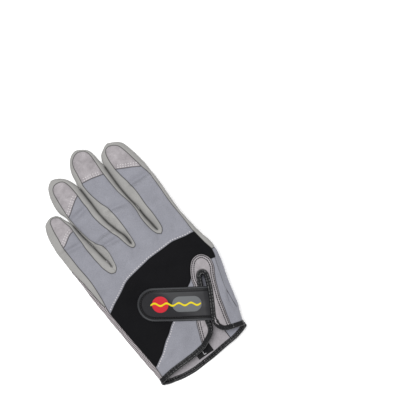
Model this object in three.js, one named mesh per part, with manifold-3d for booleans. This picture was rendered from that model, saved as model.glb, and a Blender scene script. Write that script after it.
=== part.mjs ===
// A left-hand fishing glove, lying on its palm with the thumb folded under it.
// It is cut and sewn from flat panels: stretch knit and neoprene on the back, suede at the
// fingertips, thumb and slit, plain side walls between the fingers, and dotted cloth on the
// palm. A bound slit on the back closes with a tab. Millimetres, +Z up, fingers along +Y,
// thumb side +X, the lowest point on Z = 0.
import * as THREE from "three";
import { mergeVertices } from "three/addons/utils/BufferGeometryUtils.js";
import Module from "manifold-3d";

const wasm = await Module();
wasm.setup();

// Cloth and seams
const CLOTH = 1.8; // wall of foam-backed cloth
const SLIVER = 0.06; // detail finer than this is dropped from a cut piece
const HALF_SEAM = 0.15; // each panel stops this far short of the line it is sewn along
const MIDDLE = 6.5; // height of a section's middle where nothing lifts it
const ROUNDING = 2.5; // exponent of the flat oval sections, 2 being an ellipse
const HAND_SIDES = 28;
const THUMB_SIDES = 16;
const FINGER_SIDES = 10;
const HEIGHT = 60; // above the top of everything

// Where the folded thumb lifts the hand
const DRAPE_RUN = 31; // the palm starts to rise this far from the thumb's edge
const DRAPE_PAST = 1;
const PALM_SAG = 2.1; // the surface that parts thumb from palm is this far under the lift

// Binding and closing tab
const BINDING_PROUD = 0.6; // of the cloth, on both faces
const TAB_GAP = 0.3; // between the tab and the binding under it
const TAB_WIDTH = 30.5;
const TAB_THICK = 1.5;
const TAB_ANGLE = -33; // of its length to the X axis, in degrees
const TAB_END = { x: -15.2, y: -35.4 }; // centre of the round end
const TAB_LENGTH = 62; // from there, under the flap's binding
const PIPING_WIDTH = 2.1;
const PIPING_PROUD = 0.9; // of the tab

// Clear of the glove on either side, and beyond its ends
const OUT = 75;
const FAR = 130;
// The middle of the table's frame is put over the origin.
const CENTRE = { x: -0.85, y: 6.1 };

// The hand as a flat tube: left and right edge and half height, wrist to knuckles.
const HAND = [
  { y: -114, left: -48.9, right: 39.6, half: 6.6 },
  { y: -98, left: -50.3, right: 40.6, half: 6.8 },
  { y: -88, left: -50.8, right: 42.6, half: 7.0 },
  { y: -76, left: -52.2, right: 46.8, half: 7.2 },
  { y: -60, left: -53.7, right: 50.4, half: 7.4 },
  { y: -45, left: -55.0, right: 54.4, half: 7.5 },
  { y: -32, left: -56.0, right: 57.8, half: 7.6 },
  { y: -20, left: -56.9, right: 59.0, half: 7.8 },
  { y: -10, left: -57.8, right: 56.9, half: 7.9 },
  { y: 0, left: -58.2, right: 54.8, half: 7.6 },
  { y: 8, left: -58.4, right: 53.2, half: 6.6 },
  { y: 14, left: -56.0, right: 51.0, half: 4.6 },
  { y: 20.5, left: -53.0, right: 49.0, half: 2.9 },
];

// Each finger, root to tip: left and right edge, the two seams of its back and palm strips,
// and half height, which dips at the creases and swells between them.
const FINGERS = {
  little: {
    tip: { x: -47, y: 82 },
    seamTip: { x: -46.4, y: 80 },
    rows: [
      { y: -8, left: -57.4, right: -26.0, seamLeft: -51.2, seamRight: -26.0, half: 4.2 },
      { y: 4, left: -58.5, right: -26.2, seamLeft: -50.7, seamRight: -27.0, half: 6.7 },
      { y: 13, left: -58.8, right: -27.0, seamLeft: -50.5, seamRight: -32.6, half: 7.0 },
      { y: 22, left: -59.2, right: -28.3, seamLeft: -51.0, seamRight: -35.0, half: 6.9 },
      { y: 34, left: -60.0, right: -30.4, seamLeft: -52.2, seamRight: -36.4, half: 6.8 },
      { y: 46, left: -60.6, right: -32.7, seamLeft: -53.0, seamRight: -36.6, half: 6.1 },
      { y: 56, left: -60.3, right: -34.3, seamLeft: -52.9, seamRight: -37.0, half: 6.5 },
      { y: 66, left: -59.5, right: -35.6, seamLeft: -52.0, seamRight: -38.2, half: 6.1 },
      { y: 73, left: -57.8, right: -37.2, seamLeft: -51.0, seamRight: -39.6, half: 5.4 },
      { y: 77.5, left: -55.7, right: -39.6, seamLeft: -49.6, seamRight: -41.4, half: 4.3 },
      { y: 80.5, left: -52.0, right: -43.0, seamLeft: null, seamRight: null, half: 2.5 },
    ],
  },
  ring: {
    tip: { x: -28, y: 109 },
    seamTip: { x: -25.5, y: 103.8 },
    rows: [
      { y: -8, left: -27.5, right: 0.6, seamLeft: -26.0, seamRight: 0.0, half: 4.2 },
      { y: 4, left: -27.3, right: 0.6, seamLeft: -26.0, seamRight: 0.0, half: 6.9 },
      { y: 13, left: -26.2, right: 0.3, seamLeft: -23.4, seamRight: -0.4, half: 7.3 },
      { y: 22, left: -27.2, right: -1.2, seamLeft: -22.0, seamRight: -3.9, half: 7.2 },
      { y: 33, left: -29.4, right: -3.3, seamLeft: -22.6, seamRight: -7.0, half: 6.5 },
      { y: 44, left: -31.4, right: -6.6, seamLeft: -29.4, seamRight: -11.0, half: 7.0 },
      { y: 56, left: -33.4, right: -9.0, seamLeft: -31.8, seamRight: -14.3, half: 6.8 },
      { y: 69, left: -35.6, right: -10.2, seamLeft: -33.4, seamRight: -15.3, half: 6.2 },
      { y: 76, left: -38.0, right: -10.4, seamLeft: -34.0, seamRight: -15.5, half: 6.6 },
      { y: 87, left: -39.6, right: -11.5, seamLeft: -33.4, seamRight: -15.7, half: 6.2 },
      { y: 96, left: -38.5, right: -12.9, seamLeft: -32.7, seamRight: -16.9, half: 5.7 },
      { y: 101.5, left: -36.5, right: -15.2, seamLeft: -30.8, seamRight: -20.0, half: 4.9 },
      { y: 106, left: -33.2, right: -20.2, seamLeft: null, seamRight: null, half: 3.2 },
    ],
  },
  middle: {
    tip: { x: 5.5, y: 118.5 },
    seamTip: { x: 5.5, y: 115.7 },
    rows: [
      { y: -8, left: -1.0, right: 26.6, seamLeft: 0.0, seamRight: 26.0, half: 4.2 },
      { y: 4, left: -1.0, right: 26.6, seamLeft: 0.0, seamRight: 26.0, half: 7.0 },
      { y: 13, left: -1.0, right: 26.2, seamLeft: 0.0, seamRight: 26.0, half: 7.4 },
      { y: 22, left: -0.1, right: 24.8, seamLeft: 2.4, seamRight: 21.4, half: 7.4 },
      { y: 33, left: -2.1, right: 23.0, seamLeft: 2.6, seamRight: 20.0, half: 7.2 },
      { y: 46, left: -6.0, right: 22.0, seamLeft: 2.2, seamRight: 20.2, half: 7.0 },
      { y: 57, left: -8.3, right: 20.1, seamLeft: 0.7, seamRight: 18.4, half: 6.3 },
      { y: 68, left: -9.1, right: 19.0, seamLeft: -3.2, seamRight: 16.0, half: 6.9 },
      { y: 80, left: -9.9, right: 18.6, seamLeft: -6.2, seamRight: 15.0, half: 6.6 },
      { y: 91, left: -10.8, right: 18.4, seamLeft: -6.6, seamRight: 14.5, half: 6.2 },
      { y: 100, left: -10.6, right: 18.5, seamLeft: -5.1, seamRight: 14.7, half: 6.0 },
      { y: 107, left: -8.6, right: 17.8, seamLeft: -4.2, seamRight: 14.4, half: 5.5 },
      { y: 112, left: -5.6, right: 15.8, seamLeft: -1.7, seamRight: 12.6, half: 4.6 },
      { y: 116, left: -1.4, right: 11.6, seamLeft: null, seamRight: null, half: 2.9 },
    ],
  },
  index: {
    tip: { x: 32, y: 107.6 },
    seamTip: { x: 31.6, y: 104.6 },
    rows: [
      { y: -8, left: 25.6, right: 55.4, seamLeft: 26.0, seamRight: 51.6, half: 4.2 },
      { y: 4, left: 25.6, right: 54.2, seamLeft: 26.0, seamRight: 51.1, half: 7.0 },
      { y: 13, left: 26.8, right: 52.9, seamLeft: 26.4, seamRight: 50.7, half: 7.4 },
      { y: 22, left: 25.6, right: 51.8, seamLeft: 30.6, seamRight: 49.9, half: 7.4 },
      { y: 34, left: 23.9, right: 51.6, seamLeft: 30.4, seamRight: 49.2, half: 7.3 },
      { y: 45, left: 23.0, right: 51.8, seamLeft: 30.0, seamRight: 49.2, half: 6.7 },
      { y: 57, left: 21.2, right: 51.8, seamLeft: 29.7, seamRight: 49.1, half: 7.4 },
      { y: 66, left: 20.2, right: 51.2, seamLeft: 28.7, seamRight: 48.2, half: 6.1 },
      { y: 76, left: 19.8, right: 50.1, seamLeft: 26.5, seamRight: 45.6, half: 6.6 },
      { y: 86, left: 19.6, right: 48.2, seamLeft: 25.2, seamRight: 43.7, half: 6.3 },
      { y: 95, left: 19.6, right: 46.1, seamLeft: 25.4, seamRight: 41.6, half: 5.8 },
      { y: 100.5, left: 21.0, right: 43.6, seamLeft: 26.6, seamRight: 39.0, half: 4.9 },
      { y: 104.5, left: 25.4, right: 38.6, seamLeft: null, seamRight: null, half: 3.2 },
    ],
  },
};
const FINGER_NAMES = Object.keys(FINGERS);

// The thumb, flat under the palm: its plan edges and half height, wrist to tip.
const THUMB_TIP = { x: 3.4, y: 41 };
const THUMB = [
  { y: -88, left: 17.0, right: 41.6, middle: 2.0, half: 2.6 },
  { y: -76, left: 13.4, right: 45.2, middle: 3.3, half: 3.9 },
  { y: -60, left: 7.2, right: 49.8, middle: 4.1, half: 4.7 },
  { y: -42, left: 1.2, right: 54.4, middle: 4.5, half: 5.1 },
  { y: -24, left: -3.8, right: 57.9, middle: 4.5, half: 5.1 },
  { y: -16, left: -6.4, right: 52.0, middle: 4.5, half: 5.1 },
  { y: -4, left: -10.4, right: 35.0, middle: 4.5, half: 5.1 },
  { y: 10, left: -13.4, right: 26.6, middle: 4.5, half: 5.1 },
  { y: 24, left: -15.2, right: 20.4, middle: 4.5, half: 4.9 },
  { y: 33, left: -13.4, right: 15.2, middle: 4.5, half: 4.2 },
  { y: 38.6, left: -6.6, right: 10.2, middle: 4.5, half: 2.6 },
];

// The side of the hand that the thumb grows from, from the table up to the back of the hand.
const THUMB_ROOT = [
  { y: -91, left: 33.0, right: 41.8, top: 17.6 },
  { y: -78, left: 35.0, right: 46.0, top: 21.6 },
  { y: -62, left: 37.5, right: 49.9, top: 24.2 },
  { y: -48, left: 39.5, right: 53.6, top: 25.2 },
  { y: -35, left: 41.5, right: 57.2, top: 25.6 },
  { y: -25, left: 44.0, right: 58.6, top: 25.0 },
  { y: -19, left: 48.0, right: 57.2, top: 22.0 },
];

const SUNK = 0.6; // below the table, where the clip makes it flat
// How high the palm rides over the thumb, along the hand
const LIFT = [
  { y: -114, height: 2.4 },
  { y: -100, height: 4.4 },
  { y: -88, height: 7.4 },
  { y: -76, height: 9.8 },
  { y: -60, height: 11.6 },
  { y: -46, height: 12.4 },
  { y: 34, height: 12.4 },
  { y: 48, height: 11.0 },
  { y: 60, height: 8.2 },
  { y: 74, height: 3.6 },
  { y: 86, height: 0.6 },
  { y: 94, height: 0 },
];

// Plan outlines of the panels, each point [x, y]
const KNUCKLE_LINE = [
  [-53, -20], [-45, -15.5], [-35, -10.5], [-25, -5], [-10, -1.5], [10, 1], [30, 1.5],
  [40, -0.7], [51.8, -2.5],
];
const BLACK_SIDE = [[53.7, -15], [56, -23.7], [54.4, -31.6], [48.6, -30.2]];
const BLACK_FOOT = [[24.7, -35], [-11.2, -57.8], [-25, -67.5], [-35, -75.6], [-46.9, -82]];
const OVER_KNUCKLES = [
  [60, -2.5], [60, FAR], [-60, FAR], [-60, 32], [-50.7, 3], [-51.2, -4.5],
];
const WRIST = [[-46.5, -120], [25, -120]];
const THUMB_SIDE = [
  [40, -25], [54.4, -31.6], [56, -23.7], [OUT, -16], [OUT, -120], [25, -120], [30, -60],
];
const PLACKET = [
  [0, -90.5], [6.5, -70.5], [19, -47], [24.5, -38], [29, -28], [36, -21.5], [40, -20.7],
  [44, -21.5], [49, -28], [49.3, -32], [45, -43], [39.5, -57], [35.5, -70], [32.5, -82],
  [31, -93], [31, -120], [0, -120],
];
// The edge of the cloth on the back: round the wrist and up both sides of the slit
const BACK_EDGE = [
  [-70, -98], [-48.7, -97.5], [-30, -95.3], [-10, -94.4], [0, -93], [5, -90.6], [11.2, -87.5],
  [15, -83.7], [17, -78.7], [18.5, -71], [25.5, -53.5], [31.6, -43.5], [34.6, -38.2],
  [36.6, -38.4], [33.8, -47], [28, -59.5], [21.2, -72], [19, -80], [20, -85], [22.5, -89],
  [30, -93], [36, -95.2], [41.5, -96.6], [70, -98],
];
const BACK_BOUND = [
  [-70, -93.4], [-50.3, -93.4], [-35, -91.2], [-15, -90], [-5, -89.4], [0, -88.4],
  [5, -86.6], [10, -84.2], [12.4, -80.5], [14.6, -71], [22, -53], [27.6, -42.5], [31.4, -36],
  [35, -33.6], [38.6, -34.6], [39.4, -38.4], [37.6, -46], [32, -60], [25.6, -73],
  [23.2, -79], [24, -83.4], [27, -86.6], [33, -89.4], [41, -91.6], [70, -93.5],
];
const PALM_EDGE = [
  [-70, -99.6], [-49.7, -99.8], [-40, -103.1], [-30, -105.3], [-20, -106.2], [0, -105.2],
  [20, -102.8], [35, -100.6], [42, -98.4], [70, -98.4],
];
const PALM_BOUND = [
  [-70, -95.4], [-49, -95.6], [-40, -98.6], [-30, -100.8], [-20, -101.9], [0, -100.8],
  [20, -98.6], [35, -96.3], [41, -93.6], [70, -93.6],
];
const TIP_BACK_EDGE = {
  little: [[-64, 51], [-53.2, 52.5], [-45, 57], [-36.5, 60], [-30, 61]],
  ring: [[-42, 68], [-34, 72], [-25, 78], [-15.5, 83.8], [-8, 87]],
  middle: [[-14, 91.2], [-6.5, 90.5], [5, 88.8], [14, 86.5], [22, 85]],
  index: [[17, 86.5], [25.2, 84], [35, 79], [46, 73], [54, 70]],
};
const TIP_PALM_EDGE = {
  little: [[-64, 45.5], [-30, 41]],
  ring: [[-42, 71], [-8, 67.3]],
  middle: [[-14, 77], [22, 74.4]],
  index: [[17, 34], [56, 31]],
};
// Where the palm cloth comes round the little finger's side on to the back
const PALM_WRAP = [
  [-53.6, -30], [-53, -19], [-54.7, -4.5], [-56.2, 10], [-58.2, 22.5], [-59.7, 31.5], [-66, 38],
];
const HEEL_PATCH = [
  [-46, -112], [-45, -101], [-38, -97], [-30, -94.6], [-23, -94.8], [-16, -97.5], [-10, -102],
  [-6, -112],
];
// The seam between suede and knit on the thumb's upturned side
const THUMB_SEAM = [
  [30, 12], [26.4, 7], [22, 1], [18, -7], [17.2, -25], [20, -40], [26, -55], [33, -68],
  [40, -80], [44, -88], [44, -100],
];
const WRIST_SUEDE = [[17, -89.5], [12, -120], [60, -120], [60, -89.5]];
// Where the thumb lies, and a little round it
const THUMB_AREA = [[-22, 60], [-22, -20], [8, -93], [75, -93], [75, -6], [34, 60]];
const SIDE_WALLS = [
  "side_wall_little_outer", "side_wall_little_ring", "side_wall_ring_middle",
  "side_wall_middle_index", "side_wall_index_outer",
];
// The edge of the flap that the tab is sewn under
const FLAP_EDGE = [
  [36, -38.8], [33.4, -47.2], [27.6, -59.7], [20.8, -72.1], [18, -82], [70, -82], [70, -38],
];
const LABEL = { left: -11, right: 4.7, top: -91.5, bottom: -99.6, thick: 0.6 };

const mix = (a, b, t) => a + (b - a) * t;
const ease = (t) => {
  const s = Math.min(1, Math.max(0, t));
  return s * s * (3 - 2 * s);
};

// One column of a table at any y, between its rows
function column(rows, key, y) {
  if (y <= rows[0].y) return rows[0][key];
  for (let i = 1; i < rows.length; i++) {
    if (y <= rows[i].y) {
      const t = (y - rows[i - 1].y) / (rows[i].y - rows[i - 1].y);
      return mix(rows[i - 1][key], rows[i][key], t);
    }
  }
  return rows[rows.length - 1][key];
}

// Height that the hand is lifted by the thumb under it
function lift(x, y) {
  const edge = column(THUMB, "left", y);
  const rise = (x - edge + DRAPE_RUN) / (DRAPE_RUN + DRAPE_PAST);
  return column(LIFT, "height", y) * ease(rise);
}

// A closed mesh as a solid that can be joined and cut
function solid(geometry) {
  geometry.deleteAttribute("normal");
  geometry.deleteAttribute("uv");
  const merged = mergeVertices(geometry, 1e-4);
  const mesh = new wasm.Mesh({
    numProp: 3,
    vertProperties: new Float32Array(merged.attributes.position.array),
    triVerts: new Uint32Array(merged.index.array),
  });
  return new wasm.Manifold(mesh);
}

// Flat oval sections joined along Y, closed by a flat end and by a point or a second flat end
function loft(rows, sides, tip, place) {
  const points = [];
  for (const row of rows) {
    for (let i = 0; i < sides; i++) {
      const turn = (2 * Math.PI * (i + 0.5)) / sides;
      const across = Math.cos(turn);
      const round = (1 - Math.abs(across) ** ROUNDING) ** (1 / ROUNDING);
      const up = Math.sign(Math.sin(turn)) * round;
      const x = (row.left + row.right) / 2 + (across * (row.right - row.left)) / 2;
      points.push(place(x, row.y, row.middle + up * row.half));
    }
  }
  const faces = [];
  const top = (rows.length - 1) * sides;
  for (let i = 0; i < sides; i++) {
    const next = (i + 1) % sides;
    for (let r = 0; r < rows.length - 1; r++) {
      const a = r * sides;
      const b = a + sides;
      faces.push(a + i, b + i, a + next, a + next, b + i, b + next);
    }
    if (tip) faces.push(points.length, top + next, top + i);
  }
  // A flat end is closed from each upper point down to the lower one under it.
  for (let i = 0; i < sides / 2 - 1; i++) {
    const under = sides - 1 - i;
    faces.push(i, i + 1, under, i + 1, under - 1, under);
    if (!tip) faces.push(top + i, top + under, top + i + 1);
    if (!tip) faces.push(top + i + 1, top + under, top + under - 1);
  }
  if (tip) points.push(place(tip.x, tip.y, rows[rows.length - 1].middle));
  const geometry = new THREE.BufferGeometry();
  geometry.setAttribute("position", new THREE.Float32BufferAttribute(points.flat(), 3));
  geometry.setIndex(faces);
  return solid(geometry);
}

// A table's rows drawn in by `inset` on every side, the closed end too
function drawnIn(rows, inset, end) {
  const smallest = 1.2;
  const reach = 14;
  return rows
    .filter((row) => row.half - inset > smallest)
    .map((row) => {
      const near = end ? Math.max(0, 1 - (end.y - row.y) / reach) : 0;
      return {
        y: row.y - inset * near,
        left: row.left + inset,
        right: row.right - inset,
        middle: row.middle ?? MIDDLE,
        half: row.half - inset,
      };
    });
}

// The whole glove as one solid, smaller than its outside by `inset`
function form(inset) {
  const lifted = (x, y, z) => [x, y, z + lift(x, y)];
  const level = (x, y, z) => [x, y, z];
  const pulled = (tip) => ({ x: tip.x, y: tip.y - inset });
  const web = { y: HAND[HAND.length - 1].y };
  let whole = loft(drawnIn(HAND, inset, web), HAND_SIDES, null, lifted);
  for (const { rows, tip } of Object.values(FINGERS)) {
    whole = whole.add(loft(drawnIn(rows, inset, tip), FINGER_SIDES, pulled(tip), lifted));
  }
  const thumb = drawnIn(THUMB, inset, THUMB_TIP);
  thumb[0].y += inset;
  whole = whole.add(loft(thumb, THUMB_SIDES, pulled(THUMB_TIP), level));
  const root = THUMB_ROOT.map((row) => ({
    y: row.y,
    left: row.left + inset,
    right: row.right - inset,
    middle: row.top / 2 - SUNK,
    half: row.top / 2 - inset,
  }));
  root[0].y += inset;
  root[root.length - 1].y -= inset;
  whole = whole.add(loft(root, FINGER_SIDES, null, level));
  const over = new THREE.BoxGeometry(2 * FAR, 2 * FAR, HEIGHT);
  over.translate(0, 0, HEIGHT / 2 + Math.max(0, inset));
  return whole.intersect(solid(over));
}

// Everything over a surface z = height(x, y)
function blockAbove(height, drop, cell = 8) {
  const across = Math.round((2 * OUT) / cell);
  const along = Math.round((2 * FAR) / cell);
  const block = new THREE.BoxGeometry(2 * OUT, 2 * FAR, HEIGHT, across, along, 1);
  block.translate(0, 0, HEIGHT / 2);
  const at = block.attributes.position;
  for (let i = 0; i < at.count; i++) {
    if (at.getZ(i) < 1) at.setZ(i, height(at.getX(i), at.getY(i)) - drop);
  }
  return solid(block);
}

// An outline drawn outwards by `by`, or inwards where it is negative
function grow(outline, by) {
  const shape = outline.map(([x, y]) => new THREE.Vector2(x, y));
  const turn = THREE.ShapeUtils.isClockWise(shape) ? -1 : 1;
  return shape.map((point, i) => {
    const before = shape[(i + shape.length - 1) % shape.length];
    const after = shape[(i + 1) % shape.length];
    const a = point.clone().sub(before).normalize();
    const b = after.clone().sub(point).normalize();
    const out = new THREE.Vector2(a.y + b.y, -(a.x + b.x)).normalize().multiplyScalar(turn);
    const square = Math.max(0.4, turn * (out.x * a.y - out.y * a.x));
    return point.clone().addScaledVector(out, by / square);
  });
}

// An upright prism over a plan outline, grown by `by`
function prism(outline, by = 0) {
  const shape = new THREE.Shape(grow(outline, by));
  const depth = HEIGHT + 20;
  const block = new THREE.ExtrudeGeometry(shape, { depth, bevelEnabled: false });
  block.translate(0, 0, -10);
  return solid(block);
}

// Plan outlines made from the tables
function stripOutline({ rows, seamTip }) {
  const sewn = rows.filter((row) => row.seamLeft !== null);
  const left = sewn.map((row) => [row.seamLeft, row.y]);
  const right = sewn.map((row) => [row.seamRight, row.y]).reverse();
  return [...left, [seamTip.x, seamTip.y], ...right];
}

const strips = (by) =>
  FINGER_NAMES.map((name) => prism(stripOutline(FINGERS[name]), by)).reduce((a, b) => a.add(b));

// The middle of the back of the hand, from the wrist up to where the fingers part
const HAND_BACK = [
  [-46.5, -120], [-46.9, -82], [-50.3, -50], [-52.9, -19], [-51.2, -4.5], [-50.7, 3],
  [-31, 9.2], [-29, 8.4], [-27, 8.4], [-3, 16.6], [0, 17], [3, 16.8], [25, 13.8], [26.2, 13.3],
  [28, 13.9], [50.8, 9], [51.2, -0.5], [53.7, -15], [56, -23.7], [66, -26], [66, -120],
];
// and of the palm, which the side walls reach further into
const HAND_PALM = [
  [-70, -120], [-70, 28], [-53.5, 30], [-52, 12], [-34, 12.4], [-27, 10], [-3, 15.6], [0, 16],
  [3, 15.8], [25, 12.8], [27, 12.6], [51.4, 8], [54.6, -8], [66, -12], [66, -120],
];

// From the middle line of one finger to that of the next, where the side walls are
function betweenFingers(a, b) {
  const root = -12;
  const edge = (finger, side) =>
    finger
      ? [[(finger.rows[1].left + finger.rows[1].right) / 2, root],
         [(finger.rows[5].left + finger.rows[5].right) / 2, finger.rows[5].y],
         [finger.tip.x, finger.tip.y - 12],
         [finger.tip.x, FAR]]
      : [[side * OUT, root], [side * OUT, FAR]];
  return [...edge(a, -1), ...edge(b, 1).reverse()];
}

const bandUnder = (line, reach) => [
  ...line, [line[line.length - 1][0], reach], [line[0][0], reach],
];

// The surface halfway up the glove's side that parts back from palm. Along the thumb's side
// it comes down to the thumb, so that the whole side of the hand belongs to the back.
function waist(x, y) {
  const under = ease((x - column(THUMB_ROOT, "left", y) - 3.5) / 4);
  const along = ease((-12 - y) / 8) * ease((y + 98) / 6);
  return lift(x, y) + mix(MIDDLE, -PALM_SAG, under * along);
}

const above = (by) => blockAbove(waist, by);
const everything = blockAbove(() => -5, 0);
const below = (by) => everything.subtract(above(-by));

// The sewn shell, open at the wrist and along the slit
const outside = form(0);
const inside = form(CLOTH);
const boundOutside = form(-BINDING_PROUD);
const boundInside = form(CLOTH + BINDING_PROUD);
const backVoid = bandUnder(BACK_EDGE, -FAR);
const palmVoid = bandUnder(PALM_EDGE, -FAR);
const backBand = bandUnder(BACK_BOUND, -FAR);
const palmBand = bandUnder(PALM_BOUND, -FAR);

const bound = above(0).intersect(prism(backBand)).add(below(0).intersect(prism(palmBand)));
const open = above(0).intersect(prism(backVoid)).add(below(0).intersect(prism(palmVoid)));
const unsewn = above(0)
  .intersect(prism(backBand, 2 * HALF_SEAM))
  .add(below(0).intersect(prism(palmBand, 2 * HALF_SEAM)));

const group = new THREE.Group();

const KNIT = { color: 0x9c9da7, roughness: 0.9 };
const SUEDE = { color: 0xaca6a8, roughness: 0.95 };
const NEOPRENE = { color: 0x1d1d20, roughness: 0.8 };
const SIDE_WALL = { color: 0xa3a39e, roughness: 0.9 };
const PALM_CLOTH = { color: 0xb3adaf, roughness: 0.9 };
const BINDING = { color: 0x3a3b3f, roughness: 0.6 };
const TAB = { color: 0x47484b, roughness: 0.5 };
const PIPING = { color: 0x55565a, roughness: 0.55 };
const LABEL_CLOTH = { color: 0x1a1a1c, roughness: 0.8 };

// One sewn piece: its largest body, because a seam can leave a crumb of cloth behind, without
// the slivers that the cuts leave
function addPiece(name, piece, finish) {
  const bodies = piece.asOriginal().simplify(SLIVER).decompose();
  bodies.sort((a, b) => b.volume() - a.volume());
  const { vertProperties, triVerts } = bodies[0].getMesh();
  const geometry = new THREE.BufferGeometry();
  geometry.setAttribute("position", new THREE.BufferAttribute(vertProperties, 3));
  geometry.setIndex(new THREE.BufferAttribute(triVerts, 1));
  const mesh = new THREE.Mesh(
    geometry, new THREE.MeshStandardMaterial({ ...finish, metalness: 0 }));
  mesh.name = name;
  group.add(mesh);
}

// Panels are cut one after another from what is left of the shell.
let left = outside.subtract(inside).subtract(unsewn);
function cutPanel(name, region, finish) {
  addPiece(name, left.intersect(region(-HALF_SEAM)), finish);
  left = left.subtract(region(HALF_SEAM));
}

// The thumb, parted from the palm over it
const thumbCut = (drop) =>
  everything
    .subtract(blockAbove((x, y) => lift(x, y) - PALM_SAG, drop, 4))
    .intersect(prism(THUMB_AREA));
const thumbSkin = left.intersect(thumbCut(HALF_SEAM));
left = left.subtract(thumbCut(-HALF_SEAM));
const thumbKnit = [...THUMB_SEAM, [OUT, THUMB_SEAM.at(-1)[1]], [OUT, THUMB_SEAM[0][1]]];
addPiece("thumb_knit", thumbSkin.intersect(prism(thumbKnit, -HALF_SEAM)), KNIT);
addPiece("thumb_suede", thumbSkin.subtract(prism(thumbKnit, HALF_SEAM)), SUEDE);

// Side walls between the fingers and along the outer two
const allFingers = [null, ...FINGER_NAMES.map((name) => FINGERS[name]), null];
SIDE_WALLS.forEach((name, i) => {
  const handBack = (by) => prism(HAND_BACK, by).intersect(above(by));
  const handPalm = (by) => prism(HAND_PALM, by).intersect(below(by));
  const wrap = (by) => prism([...PALM_WRAP, [-OUT, 38], [-OUT, -30]], by);
  const region = (by) => {
    let wall = prism(betweenFingers(allFingers[i], allFingers[i + 1]), by)
      .subtract(strips(-by))
      .subtract(handBack(-by))
      .subtract(handPalm(-by));
    if (i === 0) wall = wall.subtract(wrap(-by));
    return wall;
  };
  cutPanel(name, region, SIDE_WALL);
});

// Suede fingertips, back and palm
for (const name of FINGER_NAMES) {
  const backTip = bandUnder(TIP_BACK_EDGE[name], FAR);
  const palmTip = bandUnder(TIP_PALM_EDGE[name], FAR);
  const strip = prism(stripOutline(FINGERS[name]), 1);
  const tip = (outline, by) => prism(outline, by).intersect(strip);
  cutPanel("tip_back_" + name, (by) => tip(backTip, by).intersect(above(by)), SUEDE);
  cutPanel("tip_palm_" + name, (by) => tip(palmTip, by).intersect(below(by)), SUEDE);
}

// The back of the hand
const onBack = (outline) => (by) => prism(outline, by).intersect(above(by));
cutPanel("placket", onBack(PLACKET), SUEDE);
cutPanel("back_panel", onBack([...KNUCKLE_LINE, ...OVER_KNUCKLES]), KNIT);
cutPanel("black_panel", onBack([...KNUCKLE_LINE, ...BLACK_SIDE, ...BLACK_FOOT]), NEOPRENE);
cutPanel("wrist_panel", onBack([...BLACK_FOOT, ...WRIST]), KNIT);
cutPanel("thumb_side_panel", onBack(THUMB_SIDE), KNIT);

// The palm is what is left once its two patches are cut.
const onPalm = (outline) => (by) => prism(outline, by).intersect(below(by));
cutPanel("heel_patch", onPalm(HEEL_PATCH), SUEDE);
cutPanel("wrist_suede", onPalm(WRIST_SUEDE), SUEDE);
addPiece("palm_panel", left, PALM_CLOTH);

// The binding runs round the wrist and up and down the slit in one strip.
const bindingShell = boundOutside.subtract(boundInside);
addPiece("cuff_binding", bindingShell.intersect(bound).subtract(open), BINDING);

// Closing tab: a stadium laid over the back, with a raised border
function tabOutline(inset) {
  const radius = TAB_WIDTH / 2 - inset;
  const turn = THREE.MathUtils.degToRad(TAB_ANGLE);
  const along = new THREE.Vector2(Math.cos(turn), Math.sin(turn));
  const across = new THREE.Vector2(-along.y, along.x);
  const points = [];
  const steps = 12;
  for (let i = 0; i <= steps; i++) {
    const angle = Math.PI / 2 + (Math.PI * i) / steps;
    points.push([radius * Math.cos(angle), radius * Math.sin(angle)]);
  }
  const end = TAB_LENGTH - inset;
  return [...points, [end, -radius], [end, radius]].map(([u, v]) => [
    TAB_END.x + along.x * u + across.x * v,
    TAB_END.y + along.y * u + across.y * v,
  ]);
}
const tabFloor = BINDING_PROUD + TAB_GAP;
const flapSide = prism(FLAP_EDGE);
const tabLayer = (low, high) => form(-high).subtract(form(-low)).intersect(above(0));
const tabTop = tabLayer(tabFloor, tabFloor + TAB_THICK);
const pipingTop = tabLayer(tabFloor, tabFloor + TAB_THICK + PIPING_PROUD);
const field = prism(tabOutline(PIPING_WIDTH + 2 * HALF_SEAM));
addPiece("tab", tabTop.intersect(field).subtract(flapSide), TAB);
addPiece("tab_piping", pipingTop.intersect(prism(tabOutline(0)))
  .subtract(prism(tabOutline(PIPING_WIDTH))).subtract(flapSide), PIPING);

// Size label, sewn in at the wrist over the palm's binding
const labelTop = CLOTH + BINDING_PROUD + 2 * HALF_SEAM;
const labelLayer = form(labelTop).subtract(form(labelTop + LABEL.thick)).intersect(below(-2));
addPiece("size_label", labelLayer.intersect(prism([
  [LABEL.left, LABEL.bottom], [LABEL.right, LABEL.bottom], [LABEL.right, LABEL.top],
  [LABEL.left, LABEL.top]])), LABEL_CLOTH);

group.position.set(-CENTRE.x, -CENTRE.y, 0);

export default group;
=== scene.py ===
import math

import bmesh
import bpy
import numpy as np
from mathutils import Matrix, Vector
from mathutils.bvhtree import BVHTree
from mathutils.kdtree import KDTree


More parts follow.
